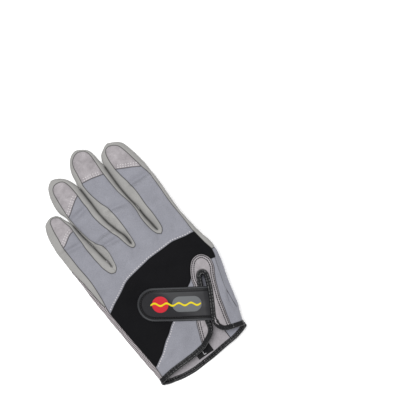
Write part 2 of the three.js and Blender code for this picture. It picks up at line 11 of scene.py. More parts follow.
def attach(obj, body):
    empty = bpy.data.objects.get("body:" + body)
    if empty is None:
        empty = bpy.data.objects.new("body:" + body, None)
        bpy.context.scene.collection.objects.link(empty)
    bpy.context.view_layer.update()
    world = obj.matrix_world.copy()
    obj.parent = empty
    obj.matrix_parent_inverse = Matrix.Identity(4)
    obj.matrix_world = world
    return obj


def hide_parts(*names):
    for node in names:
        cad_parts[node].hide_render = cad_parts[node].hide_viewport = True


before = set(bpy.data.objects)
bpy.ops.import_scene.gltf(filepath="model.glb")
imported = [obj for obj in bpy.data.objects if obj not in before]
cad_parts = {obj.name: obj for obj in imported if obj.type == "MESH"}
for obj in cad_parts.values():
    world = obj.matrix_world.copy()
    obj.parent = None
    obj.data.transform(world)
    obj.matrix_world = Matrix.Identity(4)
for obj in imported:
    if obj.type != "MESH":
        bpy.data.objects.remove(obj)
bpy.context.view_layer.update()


# The camera looks straight down at the glove, which lies turned by 35 degrees in the
# picture. It is far away with a long lens, so the glove's sides hardly show.
MM = 0.001
PICTURE_WIDTH = 374.4 * MM
CAMERA_HEIGHT = 2.2
SENSOR = 36.0
PICTURE_MIDDLE = (74.45 * MM, 1.7 * MM)
PICTURE_TURN = math.radians(-35)
bpy.ops.object.select_all(action="DESELECT")
bpy.ops.object.camera_add(location=(*PICTURE_MIDDLE, CAMERA_HEIGHT), rotation=(0, 0, PICTURE_TURN))
camera = bpy.context.object
camera.data.sensor_width = SENSOR
camera.data.lens = SENSOR * CAMERA_HEIGHT / PICTURE_WIDTH
camera.data.clip_end = 10
bpy.context.scene.camera = camera


# The glove's form: a flat hand and four fingers of foam-backed cloth, lying on the palm with
# the thumb folded under it. Every form is a ball drawn out along the finger and moved to
# tables of its edges and height, in millimetres, wrist at -Y. They are joined by a remesh.
ORIGIN = np.array([-0.85, 6.1, 0.0])  # of the part, in the tables' frame
MIDDLE = 6.5  # height of a section's middle where nothing lifts it
UPPER_ROUNDING = 2.4  # exponents of the oval sections, 2 being an ellipse
LOWER_ROUNDING = 2.8
VOXEL = 0.66
FINGER_GAP = 0.85  # each inner side stops this far short of the line between two fingers
FINGERS_CLOSE = 1.3  # and moves up to this far back towards it, never past, once they are joined
VALLEY = 3.2  # depth of the rolled valley between two fingers
VALLEY_REACH = 4.2
THUMB_DROP = 2.1  # from the thumb's top to the line that parts the hand's back from its palm
LIFT_START = -31  # the hand starts to rise this far from the thumb's left edge,
LIFT_SPAN = 32  # and has risen after this far

# edge points are (x, y) and heights are (y, half height)
LITTLE_RING = [
    (-26.7, 12.5), (-27.0, 19), (-28.3, 25), (-29.5, 32), (-31.0, 40.5), (-32.7, 49),
    (-33.8, 57), (-34.6, 64), (-35.5, 68),
]
RING_MIDDLE = [
    (-0.6, 20), (-0.9, 27.5), (-1.8, 31.5), (-3.5, 36), (-5.2, 41.5), (-7.0, 47.5),
    (-8.2, 54), (-9.2, 62), (-9.6, 71), (-10.0, 78), (-10.5, 86), (-11.2, 92),
]
MIDDLE_INDEX = [
    (26.0, 16.5), (25.2, 21), (24.3, 28), (23.3, 35), (22.9, 42), (22.2, 48), (21.0, 54),
    (20.3, 60), (19.4, 71), (19.1, 81), (19.0, 95.5),
]
FINGERS = {
    "little": {
        "left": [
            (-57.4, -8), (-58.5, 5), (-58.7, 15), (-59.7, 30), (-60.2, 40), (-60.7, 48),
            (-60.5, 54), (-59.7, 65), (-58.8, 70), (-57.0, 75), (-55.5, 78), (-53.0, 80),
            (-47.0, 82),
        ],
        "right": [(-26.0, -8), *LITTLE_RING, (-37.2, 73), (-38.8, 76.7), (-42.0, 80.5), (-47.0, 82)],
        "half": [
            (-8, 4.2), (4, 6.7), (13, 7.0), (22, 6.9), (34, 6.8), (46, 6.1), (56, 6.6),
            (66, 6.1), (73, 5.4), (77.5, 4.3), (80.5, 2.6), (82, 0),
        ],
        "inner": (0, 1),
    },
    "ring": {
        "left": [
            (-27.5, -8), *LITTLE_RING, (-37.5, 75), (-39.3, 80), (-39.7, 85), (-39.5, 90),
            (-38.7, 95), (-37.0, 100), (-35.0, 104), (-32.0, 107), (-28.0, 109),
        ],
        "right": [
            (0.6, -8), *RING_MIDDLE, (-12.2, 96), (-13.5, 99), (-15.0, 101.5), (-17.0, 103.5),
            (-20.0, 106), (-25.0, 108.4), (-28.0, 109),
        ],
        "half": [
            (-8, 4.2), (4, 6.9), (13, 7.3), (22, 7.2), (33, 6.4), (44, 7.0), (56, 6.8),
            (69, 6.1), (76, 6.7), (87, 6.2), (96, 5.7), (101.5, 4.9), (106, 3.1), (109, 0),
        ],
        "inner": (1, 1),
    },
    "middle": {
        "left": [
            (-1.0, -8), *RING_MIDDLE, (-10.6, 101), (-9.0, 106), (-6.5, 111), (-3.0, 115),
            (1.0, 117.5), (5.5, 118.5),
        ],
        "right": [
            (26.6, -8), *MIDDLE_INDEX, (18.6, 101), (18.0, 106), (17.0, 110), (15.0, 113),
            (12.0, 115.5), (8.5, 117.7), (5.5, 118.5),
        ],
        "half": [
            (-8, 4.2), (4, 7.0), (13, 7.4), (22, 7.4), (33, 7.2), (46, 7.0), (57, 6.2),
            (68, 6.9), (80, 6.6), (91, 6.2), (100, 6.0), (107, 5.5), (112, 4.6), (116, 2.9),
            (118.5, 0),
        ],
        "inner": (1, 1),
    },
    "index": {
        "left": [
            (25.6, -8), *MIDDLE_INDEX, (21.0, 101), (24.5, 103.9), (28.0, 106.2), (32.0, 107.7),
        ],
        "right": [
            (55.4, -8), (54.5, 2), (53.3, 9.5), (52.5, 16), (51.8, 22), (51.6, 32), (51.9, 51),
            (51.6, 61), (51.0, 68.5), (50.3, 75), (49.3, 81), (48.0, 87), (46.8, 92.5),
            (45.5, 97), (44.3, 100), (42.0, 102.5), (38.0, 105), (34.0, 107), (32.0, 107.7),
        ],
        "half": [
            (-8, 4.2), (4, 7.0), (13, 7.4), (22, 7.4), (34, 7.3), (45, 6.6), (57, 7.5),
            (66, 6.0), (76, 6.6), (86, 6.3), (95, 5.8), (100.5, 4.9), (104.5, 3.2), (107.7, 0),
        ],
        "inner": (1, 0),
    },
}
HAND = {
    "left": [
        (-48.9, -114), (-50.4, -95), (-50.9, -85), (-51.9, -79), (-52.8, -70), (-53.7, -60),
        (-54.7, -50), (-55.3, -40), (-56.2, -30), (-56.9, -20), (-57.8, -10), (-58.2, 0),
        (-58.4, 8), (-56.0, 14), (-53.0, 20.5),
    ],
    "right": [
        (39.6, -114), (41.2, -95.6), (42.2, -89.4), (43.7, -83.7), (46.9, -77), (48.0, -71),
        (49.4, -66), (50.6, -58.7), (52.5, -51), (54.4, -45), (56.3, -38), (57.8, -32.5),
        (58.8, -26), (59.0, -20), (58.4, -15), (56.9, -10), (54.8, 0), (53.2, 8), (51.0, 14),
        (49.0, 20.5),
    ],
    "half": [
        (-114, 6.6), (-98, 6.8), (-88, 7.0), (-76, 7.2), (-60, 7.4), (-45, 7.5), (-32, 7.6),
        (-20, 7.8), (-10, 7.9), (0, 7.6), (8, 6.6), (14, 4.6), (20.5, 2.9),
    ],
}
THUMB = {
    "left": [
        (17.0, -88), (13.4, -76), (7.2, -60), (1.2, -42), (-3.8, -24), (-6.4, -16), (-10.4, -4),
        (-13.4, 10), (-15.2, 24), (-13.4, 33), (-9.4, 37.4), (-4.0, 40), (3.4, 41),
    ],
    "right": [
        (41.6, -88), (45.2, -76), (49.8, -60), (54.4, -42), (57.9, -24), (52.0, -16),
        (35.0, -4), (26.6, 10), (20.4, 24), (15.2, 33), (11.5, 37.4), (8.2, 40), (3.4, 41),
    ],
    "half": [
        (-88, 2.6), (-76, 3.9), (-60, 4.7), (-42, 5.1), (10, 5.1), (24, 4.9), (33, 4.2),
        (37.4, 3.0), (40, 1.7), (41, 0),
    ],
    "middle": [(-88, 2.0), (-76, 3.3), (-60, 4.1), (-42, 4.5), (41, 4.5)],
}
THUMB_ROOT = {
    "left": [(33.0, -91), (35.0, -78), (37.5, -62), (39.5, -48), (41.5, -35), (44.0, -25), (48.0, -19)],
    "right": [
        (41.8, -91), (46.0, -78), (49.9, -62), (53.6, -48), (57.2, -35), (58.6, -25), (57.2, -19),
    ],
    "half": [(-91, 8.8), (-78, 10.8), (-62, 12.1), (-48, 12.6), (-35, 12.8), (-25, 12.5), (-19, 11.0)],
    "middle": [(-91, 8.2), (-78, 10.2), (-62, 11.5), (-48, 12.0), (-35, 12.2), (-25, 11.9), (-19, 10.4)],
}
# height that the thumb under the palm lifts the hand to, along the hand: (y, height)
LIFT = [
    (-114, 2.4), (-100, 4.4), (-88, 7.4), (-76, 9.8), (-60, 11.6), (-46, 12.4), (34, 12.4),
    (48, 11.0), (60, 8.2), (74, 3.6), (86, 0.6), (94, 0),
]


def flow(rows):
    """A smooth curve through rows of (place, value), with no swing past them."""
    places, values = np.array(sorted(rows), float).T
    gaps = np.diff(places)
    rises = np.diff(values) / gaps
    slopes = np.zeros_like(values)
    slopes[0], slopes[-1] = rises[0], rises[-1]
    same = rises[:-1] * rises[1:] > 0
    total = np.where(same, rises[:-1] + rises[1:], 1)
    slopes[1:-1] = np.where(same, 2 * rises[:-1] * rises[1:] / total, 0)

    def at(place):
        place = np.clip(place, places[0], places[-1])
        i = np.clip(np.searchsorted(places, place) - 1, 0, len(gaps) - 1)
        t = (place - places[i]) / gaps[i]
        start, end = values[i], values[i + 1]
        pull_a, pull_b = slopes[i] * gaps[i], slopes[i + 1] * gaps[i]
        return (
            start * (1 + 2 * t) * (1 - t) ** 2
            + pull_a * t * (1 - t) ** 2
            + end * t * t * (3 - 2 * t)
            - pull_b * t * t * (1 - t)
        )

    return at


def ease(t):
    """From 0 to 1 as t goes from 0 to 1, with a soft start and end."""
    t = np.clip(t, 0, 1)
    return t * t * (3 - 2 * t)


def by_height(points):
    """X of a line of (x, y) points at each y."""
    return flow([(y, x) for x, y in points])


thumb_left = by_height(THUMB["left"])
lift_height = flow(LIFT)
root_left = by_height(THUMB_ROOT["left"])


def lift(x, y):
    """How far the thumb under the palm lifts the hand here."""
    return lift_height(y) * ease((x - thumb_left(y) - LIFT_START) / LIFT_SPAN)


def waist(x, y):
    """Height of the line round the glove's side that parts its back from its palm."""
    under = ease((x - root_left(y) - 3.5) / 4) * ease((-12 - y) / 8) * ease((y + 98) / 6)
    return lift(x, y) + MIDDLE * (1 - under) - THUMB_DROP * under


def read(items, key, kind=float, wide=1):
    """What a mesh keeps for each of these items: one value, or a row this wide."""
    out = np.empty(len(items) * wide, kind)
    items.foreach_get(key, out)
    return out.reshape(-1, wide) if wide > 1 else out


def points_of(mesh):
    return read(mesh.vertices, "co", wide=3)


def normals_of(mesh):
    return read(mesh.vertex_normals, "vector", wide=3)


def put_points(mesh, co):
    mesh.vertices.foreach_set("co", np.ascontiguousarray(co, float).ravel())
    mesh.update()


def choose(*pieces):
    """Selects these pieces alone, the first of them active. With none, all are deselected."""
    bpy.ops.object.select_all(action="DESELECT")
    for piece in pieces:
        piece.select_set(True)
    if pieces:
        bpy.context.view_layer.objects.active = pieces[0]


def face_outward(weld=False):
    """Turns the faces of the active piece outward, and closes its open seam first if asked."""
    bpy.ops.object.mode_set(mode="EDIT")
    bpy.ops.mesh.select_all(action="SELECT")
    if weld:
        bpy.ops.mesh.remove_doubles(threshold=1e-7)
    bpy.ops.mesh.normals_make_consistent(inside=False)
    bpy.ops.object.mode_set(mode="OBJECT")


def drawn_out(name, form, sides=64, rings=110, inner=(0, 0), lifted=True):
    """A closed form from a ball whose rings are moved to the form's sections."""
    choose()
    bpy.ops.mesh.primitive_uv_sphere_add(segments=sides, ring_count=rings, radius=1)
    ball = bpy.context.object
    ball.name = name
    co = points_of(ball.data)
    heights = flow(form["half"])
    start, end = form["half"][0][0], form["half"][-1][0]
    y = start + (end - start) * (co[:, 2] + 1) / 2
    reach = np.hypot(co[:, 0], co[:, 1])
    across = np.where(reach > 1e-6, co[:, 0] / np.maximum(reach, 1e-6), 0)
    upper = co[:, 1] >= 0
    power = np.where(upper, UPPER_ROUNDING, LOWER_ROUNDING)
    up = np.where(upper, 1, -1) * np.clip(1 - np.abs(across) ** power, 0, 1) ** (1 / power)
    up = np.where(reach > 1e-6, up, 0)
    left = by_height(form["left"])(y) + inner[0] * FINGER_GAP
    right = by_height(form["right"])(y) - inner[1] * FINGER_GAP
    x = (left + right) / 2 + across * (right - left) / 2
    middle = flow(form["middle"])(y) if "middle" in form else MIDDLE
    z = middle + up * heights(y)
    if lifted:
        z = z + lift(x, y)
    put_points(ball.data, (np.stack([x, y, z], 1) - ORIGIN) * MM)
    face_outward()
    return ball


forms = [drawn_out("hand", HAND, sides=96)]
forms += [drawn_out(finger, form, inner=form["inner"]) for finger, form in FINGERS.items()]
forms += [drawn_out("thumb", THUMB, lifted=False), drawn_out("thumb_root", THUMB_ROOT, lifted=False)]
choose(*forms)
bpy.ops.object.join()
skin = bpy.context.object
skin.name = "skin"


def add_modifier(piece, kind, **settings):
    """Adds a modifier with these settings and applies it at once."""
    bpy.context.view_layer.objects.active = piece
    modifier = piece.modifiers.new(kind.lower(), kind)
    for key, value in settings.items():
        setattr(modifier, key, value)
    bpy.ops.object.modifier_apply(modifier=modifier.name)


add_modifier(skin, "REMESH", mode="VOXEL", voxel_size=VOXEL * MM, adaptivity=0)
add_modifier(skin, "SMOOTH", factor=0.5, iterations=7)

# Folds and dents of the empty cloth: middle, direction of the fold in degrees, half length,
# half width and height, negative for a dent. The foam keeps them soft.
BACK_FOLDS = [
    # x, y, turn, length, width, height
    (39.0, 65.5, -3, 13, 2.6, -1.5), (38.0, 57.5, -4, 10, 4.0, 0.9), (40.0, 45.0, 10, 8, 5.0, -1.0),
    (33.0, 30.0, 80, 9, 4.0, 0.4), (46.0, 20.0, 95, 12, 3.0, -0.5),
    (6.0, 56.5, -15, 12, 2.6, -1.4), (5.0, 49.5, -12, 9, 4.0, 0.6), (9.0, 66.0, -8, 8, 3.5, 0.5),
    (12.0, 38.0, 75, 10, 4.0, 0.4), (5.0, 30.0, 20, 7, 4.0, -0.5),
    (-17.0, 33.0, -9, 12, 2.6, -1.5), (-14.0, 25.5, -8, 9, 4.0, 0.6), (-22.0, 42.0, -30, 8, 3.5, 0.5),
    (-24.0, 69.5, 10, 10, 2.4, -1.2), (-24.0, 62.0, 5, 9, 4.0, 0.6),
    (-47.0, 47.5, -6, 12, 2.4, -1.3), (-46.0, 40.0, -5, 9, 4.0, 0.6), (-46.0, 24.0, 30, 8, 4.0, -0.6),
    (-20.0, -10.0, 25, 16, 5.0, 0.5), (12.0, -16.0, -20, 18, 6.0, -0.7), (-35.0, -34.0, 60, 16, 6.0, -0.6),
    (45.0, -10.0, -30, 10, 4.0, -0.6),
    (-30.0, -84.0, 20, 14, 3.5, -0.7), (-12.0, -76.0, 40, 12, 4.0, 0.7), (-38.0, -88.0, 5, 10, 3.0, 0.6),
    (52.0, -45.0, 70, 12, 2.2, -1.0), (46.0, -62.0, 66, 12, 2.2, -1.0), (42.5, -75.0, 84, 9, 2.0, -0.9),
    (48.5, -52.0, 68, 14, 2.4, 0.6), (41.0, -66.0, 66, 12, 2.4, 0.5),
]
FOLD_STRENGTH = 1.7
SWAY = 0.22
# slow unevenness of the cloth all over, from a few crossed waves: turns in x, y and z, and start
SWAY_WAVES = [
    (0.13, 0.21, 0.3, 0.4), (-0.27, 0.12, 0.2, 1.9), (0.35, 0.31, -0.3, 3.1), (0.52, -0.44, 0.4, 5.0),
    (-0.14, 0.62, 0.5, 2.2), (0.71, 0.18, -0.6, 0.9),
]
co = points_of(skin.data)
normals = normals_of(skin.data)
flat = co / MM + ORIGIN
push = np.zeros(len(co))
for x, y, turn, length, width, height in BACK_FOLDS:
    c, s = math.cos(math.radians(turn)), math.sin(math.radians(turn))
    along = (flat[:, 0] - x) * c + (flat[:, 1] - y) * s
    aside = (flat[:, 1] - y) * c - (flat[:, 0] - x) * s
    push += height * np.exp(-((along / length) ** 4) - (aside / width) ** 2)
push *= FOLD_STRENGTH * ease((normals[:, 2] + 0.1) / 0.7)
sway = np.zeros(len(co))
for n, (wave_x, wave_y, wave_z, start) in enumerate(SWAY_WAVES):
    turn = wave_x * flat[:, 0] + wave_y * flat[:, 1] + wave_z * flat[:, 2] + start
    sway += np.sin(turn + 1.3 * np.sin(0.09 * flat[:, 0] - 0.11 * flat[:, 1] + n)) / (2 + n)
push += SWAY * sway

for line in (LITTLE_RING, RING_MIDDLE, MIDDLE_INDEX):
    from_line = flat[:, 0] - by_height(line)(flat[:, 1])
    near = np.exp(-((from_line / 3) ** 2)) * ease((flat[:, 1] - line[0][1] + 6) / 5)
    near *= ease((line[-1][1] + 4 - flat[:, 1]) / 8)
    shift = np.minimum(FINGERS_CLOSE * near, np.abs(from_line) - np.minimum(0.02, np.abs(from_line)))
    co[:, 0] -= np.sign(from_line) * shift * MM
    # the fingers' backs and palms roll down into the gap
    roll = VALLEY * (1 - np.clip(np.abs(from_line) / VALLEY_REACH, 0, 1)) ** 2
    roll *= ease((flat[:, 1] - line[0][1] + 0.5) / 5) * ease((line[-1][1] + 2 - flat[:, 1]) / 12)
    over = (flat[:, 2] - waist(flat[:, 0], flat[:, 1])) / 3
    co[:, 2] -= roll * np.clip(over, -1, 1) * MM

# The edge of the right-hand flap stands up a little over the tab's root.
SLIT = [
    (36.2, -34.0), (35.2, -38.4), (32.6, -45.5), (26.8, -56.6), (20.4, -70.5), (18.2, -78.0), (18.0, -86.0),
]
FLAP_RISE = 2.3
FLAP_SINK = 0.5
SETTLE = 0.4  # cloth nearer the table than this settles softly on to it
slit_x = by_height(SLIT)


def flap_rise(x, y):
    """How far the cloth stands up on the right of the slit, or sinks on its left."""
    beside = x - slit_x(y)
    right, left = FLAP_RISE * np.exp(-((beside / 8.5) ** 2)), -FLAP_SINK * np.exp(-((beside / 6) ** 2))
    rise = np.where(beside > 0, right, left)
    return rise * ease((y + 92) / 10) * ease((-37 - y) / 6)


upper = ease((flat[:, 2] - waist(flat[:, 0], flat[:, 1]) - 1) / 3)
co = co + normals * push[:, None] * MM
co[:, 2] += flap_rise(flat[:, 0], flat[:, 1]) * upper * MM
settled = SETTLE * MM * np.exp((co[:, 2] / MM - SETTLE) / SETTLE)
co[:, 2] = np.where(co[:, 2] < SETTLE * MM, settled, co[:, 2])
put_points(skin.data, co)


# The cloth is cut into the panels that the real glove is sewn from. A panel is a plan outline
# on the back or on the palm, and an earlier one in the list covers a later one. Points of the
# mesh beside a seam are moved on to it, so that every seam is a clean line.
FAR = 130  # past the fingers' tips and the cuff
OUT = 75  # past either side
NEAR = 5  # how far outside an outline its depth is worked out


def flowing(points, step=2.0):
    """The points of a smooth line through these, about a step apart."""
    p = np.array(points, float)
    ends = np.vstack([2 * p[0] - p[1], p, 2 * p[-1] - p[-2]])
    out = []
    for i in range(1, len(ends) - 2):
        a, b, c, d = ends[i - 1 : i + 3]
        n = max(1, int(round(np.linalg.norm(c - b) / step)))
        for k in range(n):
            t = k / n
            bend, twist = 2 * a - 5 * b + 4 * c - d, 3 * b - a - 3 * c + d
            out.append(0.5 * (2 * b + (c - a) * t + bend * t * t + twist * t ** 3))
    out.append(p[-1])
    return [tuple(point) for point in out]


# where the strips of the fingers' back and palm are sewn to the side walls
STRIPS = {
    "little": flowing([
        (-51.2, -4.5), (-50.7, 2.5), (-50.4, 10), (-50.5, 15), (-51.1, 22.5), (-52.0, 30),
        (-52.5, 37.5), (-53.0, 47), (-53.2, 52.5), (-52.3, 62), (-51.7, 69.5), (-50.7, 75),
        (-50.0, 78), (-48.0, 80), (-45.0, 80), (-40.6, 77), (-38.6, 69.5), (-37.3, 65),
        (-36.9, 59.5), (-36.9, 50), (-36.8, 40), (-36.3, 32.5), (-36.0, 27.5), (-35.2, 22.5),
        (-34.5, 17.5), (-33.0, 13), (-31.0, 9.2), (-29.0, 8.5), (-27.0, 8.2),
    ]),
    "ring": flowing([
        (-26.6, 8.4), (-24.5, 10), (-23.2, 13.5), (-22.2, 20), (-21.7, 25), (-22.0, 30), (-22.7, 33),
        (-24.0, 35), (-26.0, 37.5), (-28.0, 41), (-30.0, 45), (-31.6, 52), (-33.0, 60),
        (-34.0, 69.5), (-34.0, 72.5), (-33.7, 80), (-33.0, 92), (-32.2, 98.5), (-30.0, 102),
        (-26.0, 103.7), (-21.0, 102.7), (-18.5, 100.5), (-16.7, 95.5), (-16.0, 90.5),
        (-15.5, 84), (-15.5, 77), (-15.2, 69.5), (-15.0, 62), (-14.5, 57), (-13.0, 50),
        (-11.0, 44), (-9.7, 40), (-7.0, 33.5), (-5.2, 27.5), (-3.5, 21), (-1.5, 17.5), (0.0, 17),
    ]),
    "middle": flowing([
        (0.4, 17.1), (1.5, 18), (2.2, 21), (2.5, 30), (2.7, 37.5), (2.1, 47.5), (1.3, 54.5),
        (0.3, 58.5), (-1.0, 62), (-2.7, 66), (-4.2, 71), (-5.7, 77), (-6.7, 83.5), (-6.9, 88.5),
        (-6.2, 92), (-5.7, 96), (-5.0, 101), (-4.5, 106), (-2.7, 111), (0.0, 113.5), (2.5, 115),
        (5.5, 115.7), (8.5, 115.2), (11.5, 113.5), (13.5, 111), (14.5, 107), (14.7, 101),
        (14.5, 93.5), (14.5, 86.5), (15.0, 80), (15.5, 73.5), (16.2, 67), (17.5, 61),
        (18.8, 56), (20.2, 49), (20.5, 42), (19.9, 35), (20.5, 27), (22.0, 19.5), (24.0, 15),
        (26.2, 13.3),
    ]),
    "index": flowing([
        (26.6, 13.2), (28.5, 14.5), (30.0, 17), (30.6, 22), (30.6, 32), (30.0, 42), (30.0, 52),
        (29.5, 61), (28.7, 66), (27.7, 71), (26.5, 76), (25.7, 81), (25.2, 84), (25.2, 91),
        (25.5, 96), (26.5, 100.5), (28.5, 103.5), (31.2, 104.5), (34.5, 103.7), (38.0, 101.5),
        (40.2, 99), (41.5, 95.5), (43.0, 90), (44.2, 84), (45.5, 78), (46.4, 73), (47.2, 70),
        (48.2, 66), (49.0, 61), (49.2, 50), (49.2, 35), (49.5, 27), (50.0, 21), (50.6, 14.5),
        (50.9, 8), (51.2, -0.5), (51.8, -2.5),
    ]),
}
BACK_SIDE = [(52.6, -8), (53.7, -15), (56, -23.7), (66, -26), (66, -FAR), (-46.5, -FAR), (-46.9, -82)]
BACK_CLOTH = [
    *STRIPS["little"], *STRIPS["ring"], *STRIPS["middle"], *STRIPS["index"], *BACK_SIDE,
    (-47.8, -77.5), (-50.3, -50), (-52.8, -21), (-52.4, -13),
]
PALM_HAND = [
    (-70, -FAR), (-70, 28), (-53.5, 30), *flowing([(-52, 12), (-34, 12.4), (-27, 10)]),
    *flowing([(-3, 15.6), (0, 16), (3, 15.8)]), *flowing([(25, 12.8), (27, 12.6), (51.4, 8)]),
    (54.6, -8), (66, -12), (66, -FAR),
]
TIP_BACK = {
    "little": (-56, -36, flowing([(-53.2, 52.5), (-50, 53.7), (-45, 57), (-41, 59.2), (-36.5, 60)])),
    "ring": (-36, -13, flowing([(-34, 72), (-30, 74.3), (-25, 78), (-20, 81.5), (-15.5, 83.8)])),
    "middle": (-9, 17.5, flowing([(-6.6, 90.5), (0, 89.7), (5, 88.8), (10, 87.5), (14.4, 86.5)])),
    "index": (23, 56, flowing([(25.2, 84), (30, 81.5), (35, 79), (40, 76.5), (46, 73)])),
}
TIP_PALM = {
    "little": (-66, -34, [(-56, 44.7), (-36.4, 41.5)]),
    "ring": (-36, -13, [(-33.4, 70.1), (-15, 67.8)]),
    "middle": (-8, 17.5, [(-5.6, 76.4), (15.3, 74.7)]),
    "index": (23, 60, [(30, 33.3), (49.3, 31.4)]),
}
KNUCKLE_LINE = flowing([
    (-53, -20), (-50, -18.5), (-45, -15.5), (-40, -13), (-35, -10.5), (-30, -7.7), (-25, -5),
    (-20, -3.3), (-10, -1.5), (0, 0), (4, 0.7), (10, 1.0), (20, 1.2), (30, 1.5), (35, 0.5),
    (40, -0.7), (44, -1.5), (48, -1.8), (51.8, -2.5),
])
BLACK_FOOT = flowing([
    (24.7, -35), (23, -36.9), (19, -39), (11, -44), (-11.2, -57.8), (-15, -60.3), (-20, -64.4),
    (-25, -67.5), (-30, -71.5), (-35, -75.6), (-40, -78.4), (-45, -81.5), (-46.9, -82.4),
])
PLACKET_LEFT = flowing([
    (-1, -92), (0, -87.5), (2, -82), (6.5, -70.5), (12, -60), (19, -47.5), (23.6, -42), (24.3, -38.5),
    (25.6, -34.5), (27.4, -31), (30, -27), (33, -23.5), (36, -21.5), (40, -20.7), (44, -21.5),
    (47, -24), (49, -28), (49.5, -32), (48, -38), (45, -43), (42, -50), (39.5, -57), (37, -64),
    (35.5, -70), (34, -76), (32.5, -82), (30.8, -90), (30, -96),
])
SLIT_LEFT = flowing([
    (0, -93), (5, -90.6), (11.2, -87.5), (15, -83.7), (17, -78.7), (18.9, -71), (25.3, -55.5),
    (30.8, -45), (33.6, -38.6), (34.8, -37),
])
SLIT_RIGHT = flowing([
    (36.2, -37.2), (36.4, -39), (34.4, -46), (31, -53.5), (27.2, -61), (21.9, -70.5), (19.3, -76),
    (18.6, -80), (19.6, -85), (22, -89), (25, -91), (30, -93), (36, -95), (41.5, -96.6),
])
BACK_EDGE = [
    (-70, -98.5), *flowing([(-48.7, -97.5), (-40, -96), (-30, -95.3), (-20, -95), (-10, -94.4), (0, -93)]),
    *SLIT_LEFT[1:], *SLIT_RIGHT, (70, -98), (70, -FAR), (-70, -FAR),
]
PALM_EDGE = [
    (-70, -99.6), *flowing([
        (-49.7, -99.8), (-45, -101.9), (-40, -103.1), (-35, -104.4), (-30, -105.3), (-20, -106.2),
        (-10, -105.8), (0, -105.2), (10, -104), (20, -102.8), (27.5, -102.2), (35, -100.6),
        (42, -98.4),
    ]), (70, -98.4), (70, -FAR), (-70, -FAR),
]
PALM_WRAP = flowing([
    (-52.8, -21.5), (-53.2, -13), (-54.7, -4.5), (-55.5, 3.5), (-56.2, 10), (-56.7, 15),
    (-58.2, 22.5), (-59.7, 31.5), (-64, 38),
])
HEEL_PATCH = flowing([
    (-46, -112), (-45, -101), (-38, -97), (-30, -94.6), (-23, -94.8), (-16, -97.5), (-10, -102),
    (-6, -112),
])
THUMB_SEAM = flowing([
    (30, 12), (27, 8), (22, 1.5), (18.2, -7), (17.2, -16), (17.4, -25), (20, -40), (26, -55),
    (33, -68), (40, -80), (44, -88), (44, -100),
])
THUMB_AREA = [(-22, 60), (-22, -20), (8, -93), (75, -93), (75, -6), (34, 60)]


def inside(outline):
    """How far points lie inside a closed plan outline, in mm, less than 0 outside."""
    line = np.array(outline, float)

    def field(x, y, z):
        deep = np.full(len(x), -float(NEAR))
        low, high = line.min(0) - NEAR, line.max(0) + NEAR
        near = np.flatnonzero((x > low[0]) & (x < high[0]) & (y > low[1]) & (y < high[1]))
        px, py = x[near], y[near]
        least = np.full(len(near), float(NEAR ** 2))
        within = np.zeros(len(near), bool)
        for (ax, ay), (bx, by) in zip(line, np.roll(line, -1, 0)):
            dx, dy = bx - ax, by - ay
            crosses = (ay > py) != (by > py)
            within ^= crosses & (px < ax + dx * (py - ay) / (dy if dy else 1))
            t = np.clip(((px - ax) * dx + (py - ay) * dy) / (dx * dx + dy * dy + 1e-12), 0, 1)
            np.minimum(least, (px - ax - t * dx) ** 2 + (py - ay - t * dy) ** 2, out=least)
        deep[near] = np.where(within, np.sqrt(least), -np.sqrt(least))
        return deep

    return field


def on_back(x, y, z):
    return z - waist(x, y)


def on_palm(x, y, z):
    return waist(x, y) - z


def over_thumb(x, y, z):
    return lift(x, y) - THUMB_DROP - z


def both(*fields):
    return lambda x, y, z: np.minimum.reduce([f(x, y, z) for f in fields])


def either(*fields):
    return lambda x, y, z: np.maximum.reduce([f(x, y, z) for f in fields])


def without(f):
    return lambda x, y, z: -f(x, y, z)


def side_wall(a, b):
    """From the middle of one finger to the middle of the next, beside the strips."""
    lines = []
    for finger, side in ((a, -1), (b, 1)):
        if finger:
            form = FINGERS[finger]
            middle = [(form["left"][1][0] + form["right"][1][0]) / 2, -12 if b else -24]
            at_40 = (by_height(form["left"])(40.0) + by_height(form["right"])(40.0)) / 2
            tip = form["left"][-1]
            lines.append([tuple(middle), (at_40, 40), (tip[0], tip[1] - 12), (tip[0], FAR)])
        else:
            lines.append([(side * OUT, -12 if side < 0 else -24), (side * OUT, FAR)])
    return inside(lines[0] + lines[1][::-1])


back_cloth = inside(BACK_CLOTH)
strips = {finger: inside(line) for finger, line in STRIPS.items()}
palm_cloth = either(inside(PALM_HAND), *strips.values())
beside_strips = either(both(on_back, without(back_cloth)), both(on_palm, without(palm_cloth)))


def tip_patch(left, right, edge, half):
    outline = [(left, edge[0][1]), *edge, (right, edge[-1][1]), (right, FAR), (left, FAR)]
    return both(inside(outline), half)


PANELS = {
    "opening": either(both(on_back, inside(BACK_EDGE)), both(on_palm, inside(PALM_EDGE))),
    "thumb_knit": both(over_thumb, inside(THUMB_AREA), inside([*THUMB_SEAM, (OUT, -100), (OUT, 12)])),
    "thumb_suede": both(over_thumb, inside(THUMB_AREA)),
    "side_wall_little_outer": both(
        side_wall(None, "little"), beside_strips,
        without(inside([*PALM_WRAP, (-OUT, 38), (-OUT, -30), (-54, -30)])),
    ),
    "side_wall_little_ring": both(side_wall("little", "ring"), beside_strips),
    "side_wall_ring_middle": both(side_wall("ring", "middle"), beside_strips),
    "side_wall_middle_index": both(side_wall("middle", "index"), beside_strips),
    "side_wall_index_outer": both(side_wall("index", None), beside_strips),
}
for finger in FINGERS:
    PANELS["tip_back_" + finger] = tip_patch(*TIP_BACK[finger], on_back)
    PANELS["tip_palm_" + finger] = tip_patch(*TIP_PALM[finger], on_palm)
PANELS["placket"] = both(on_back, inside([*PLACKET_LEFT, (30, -FAR), (-1, -FAR)]))
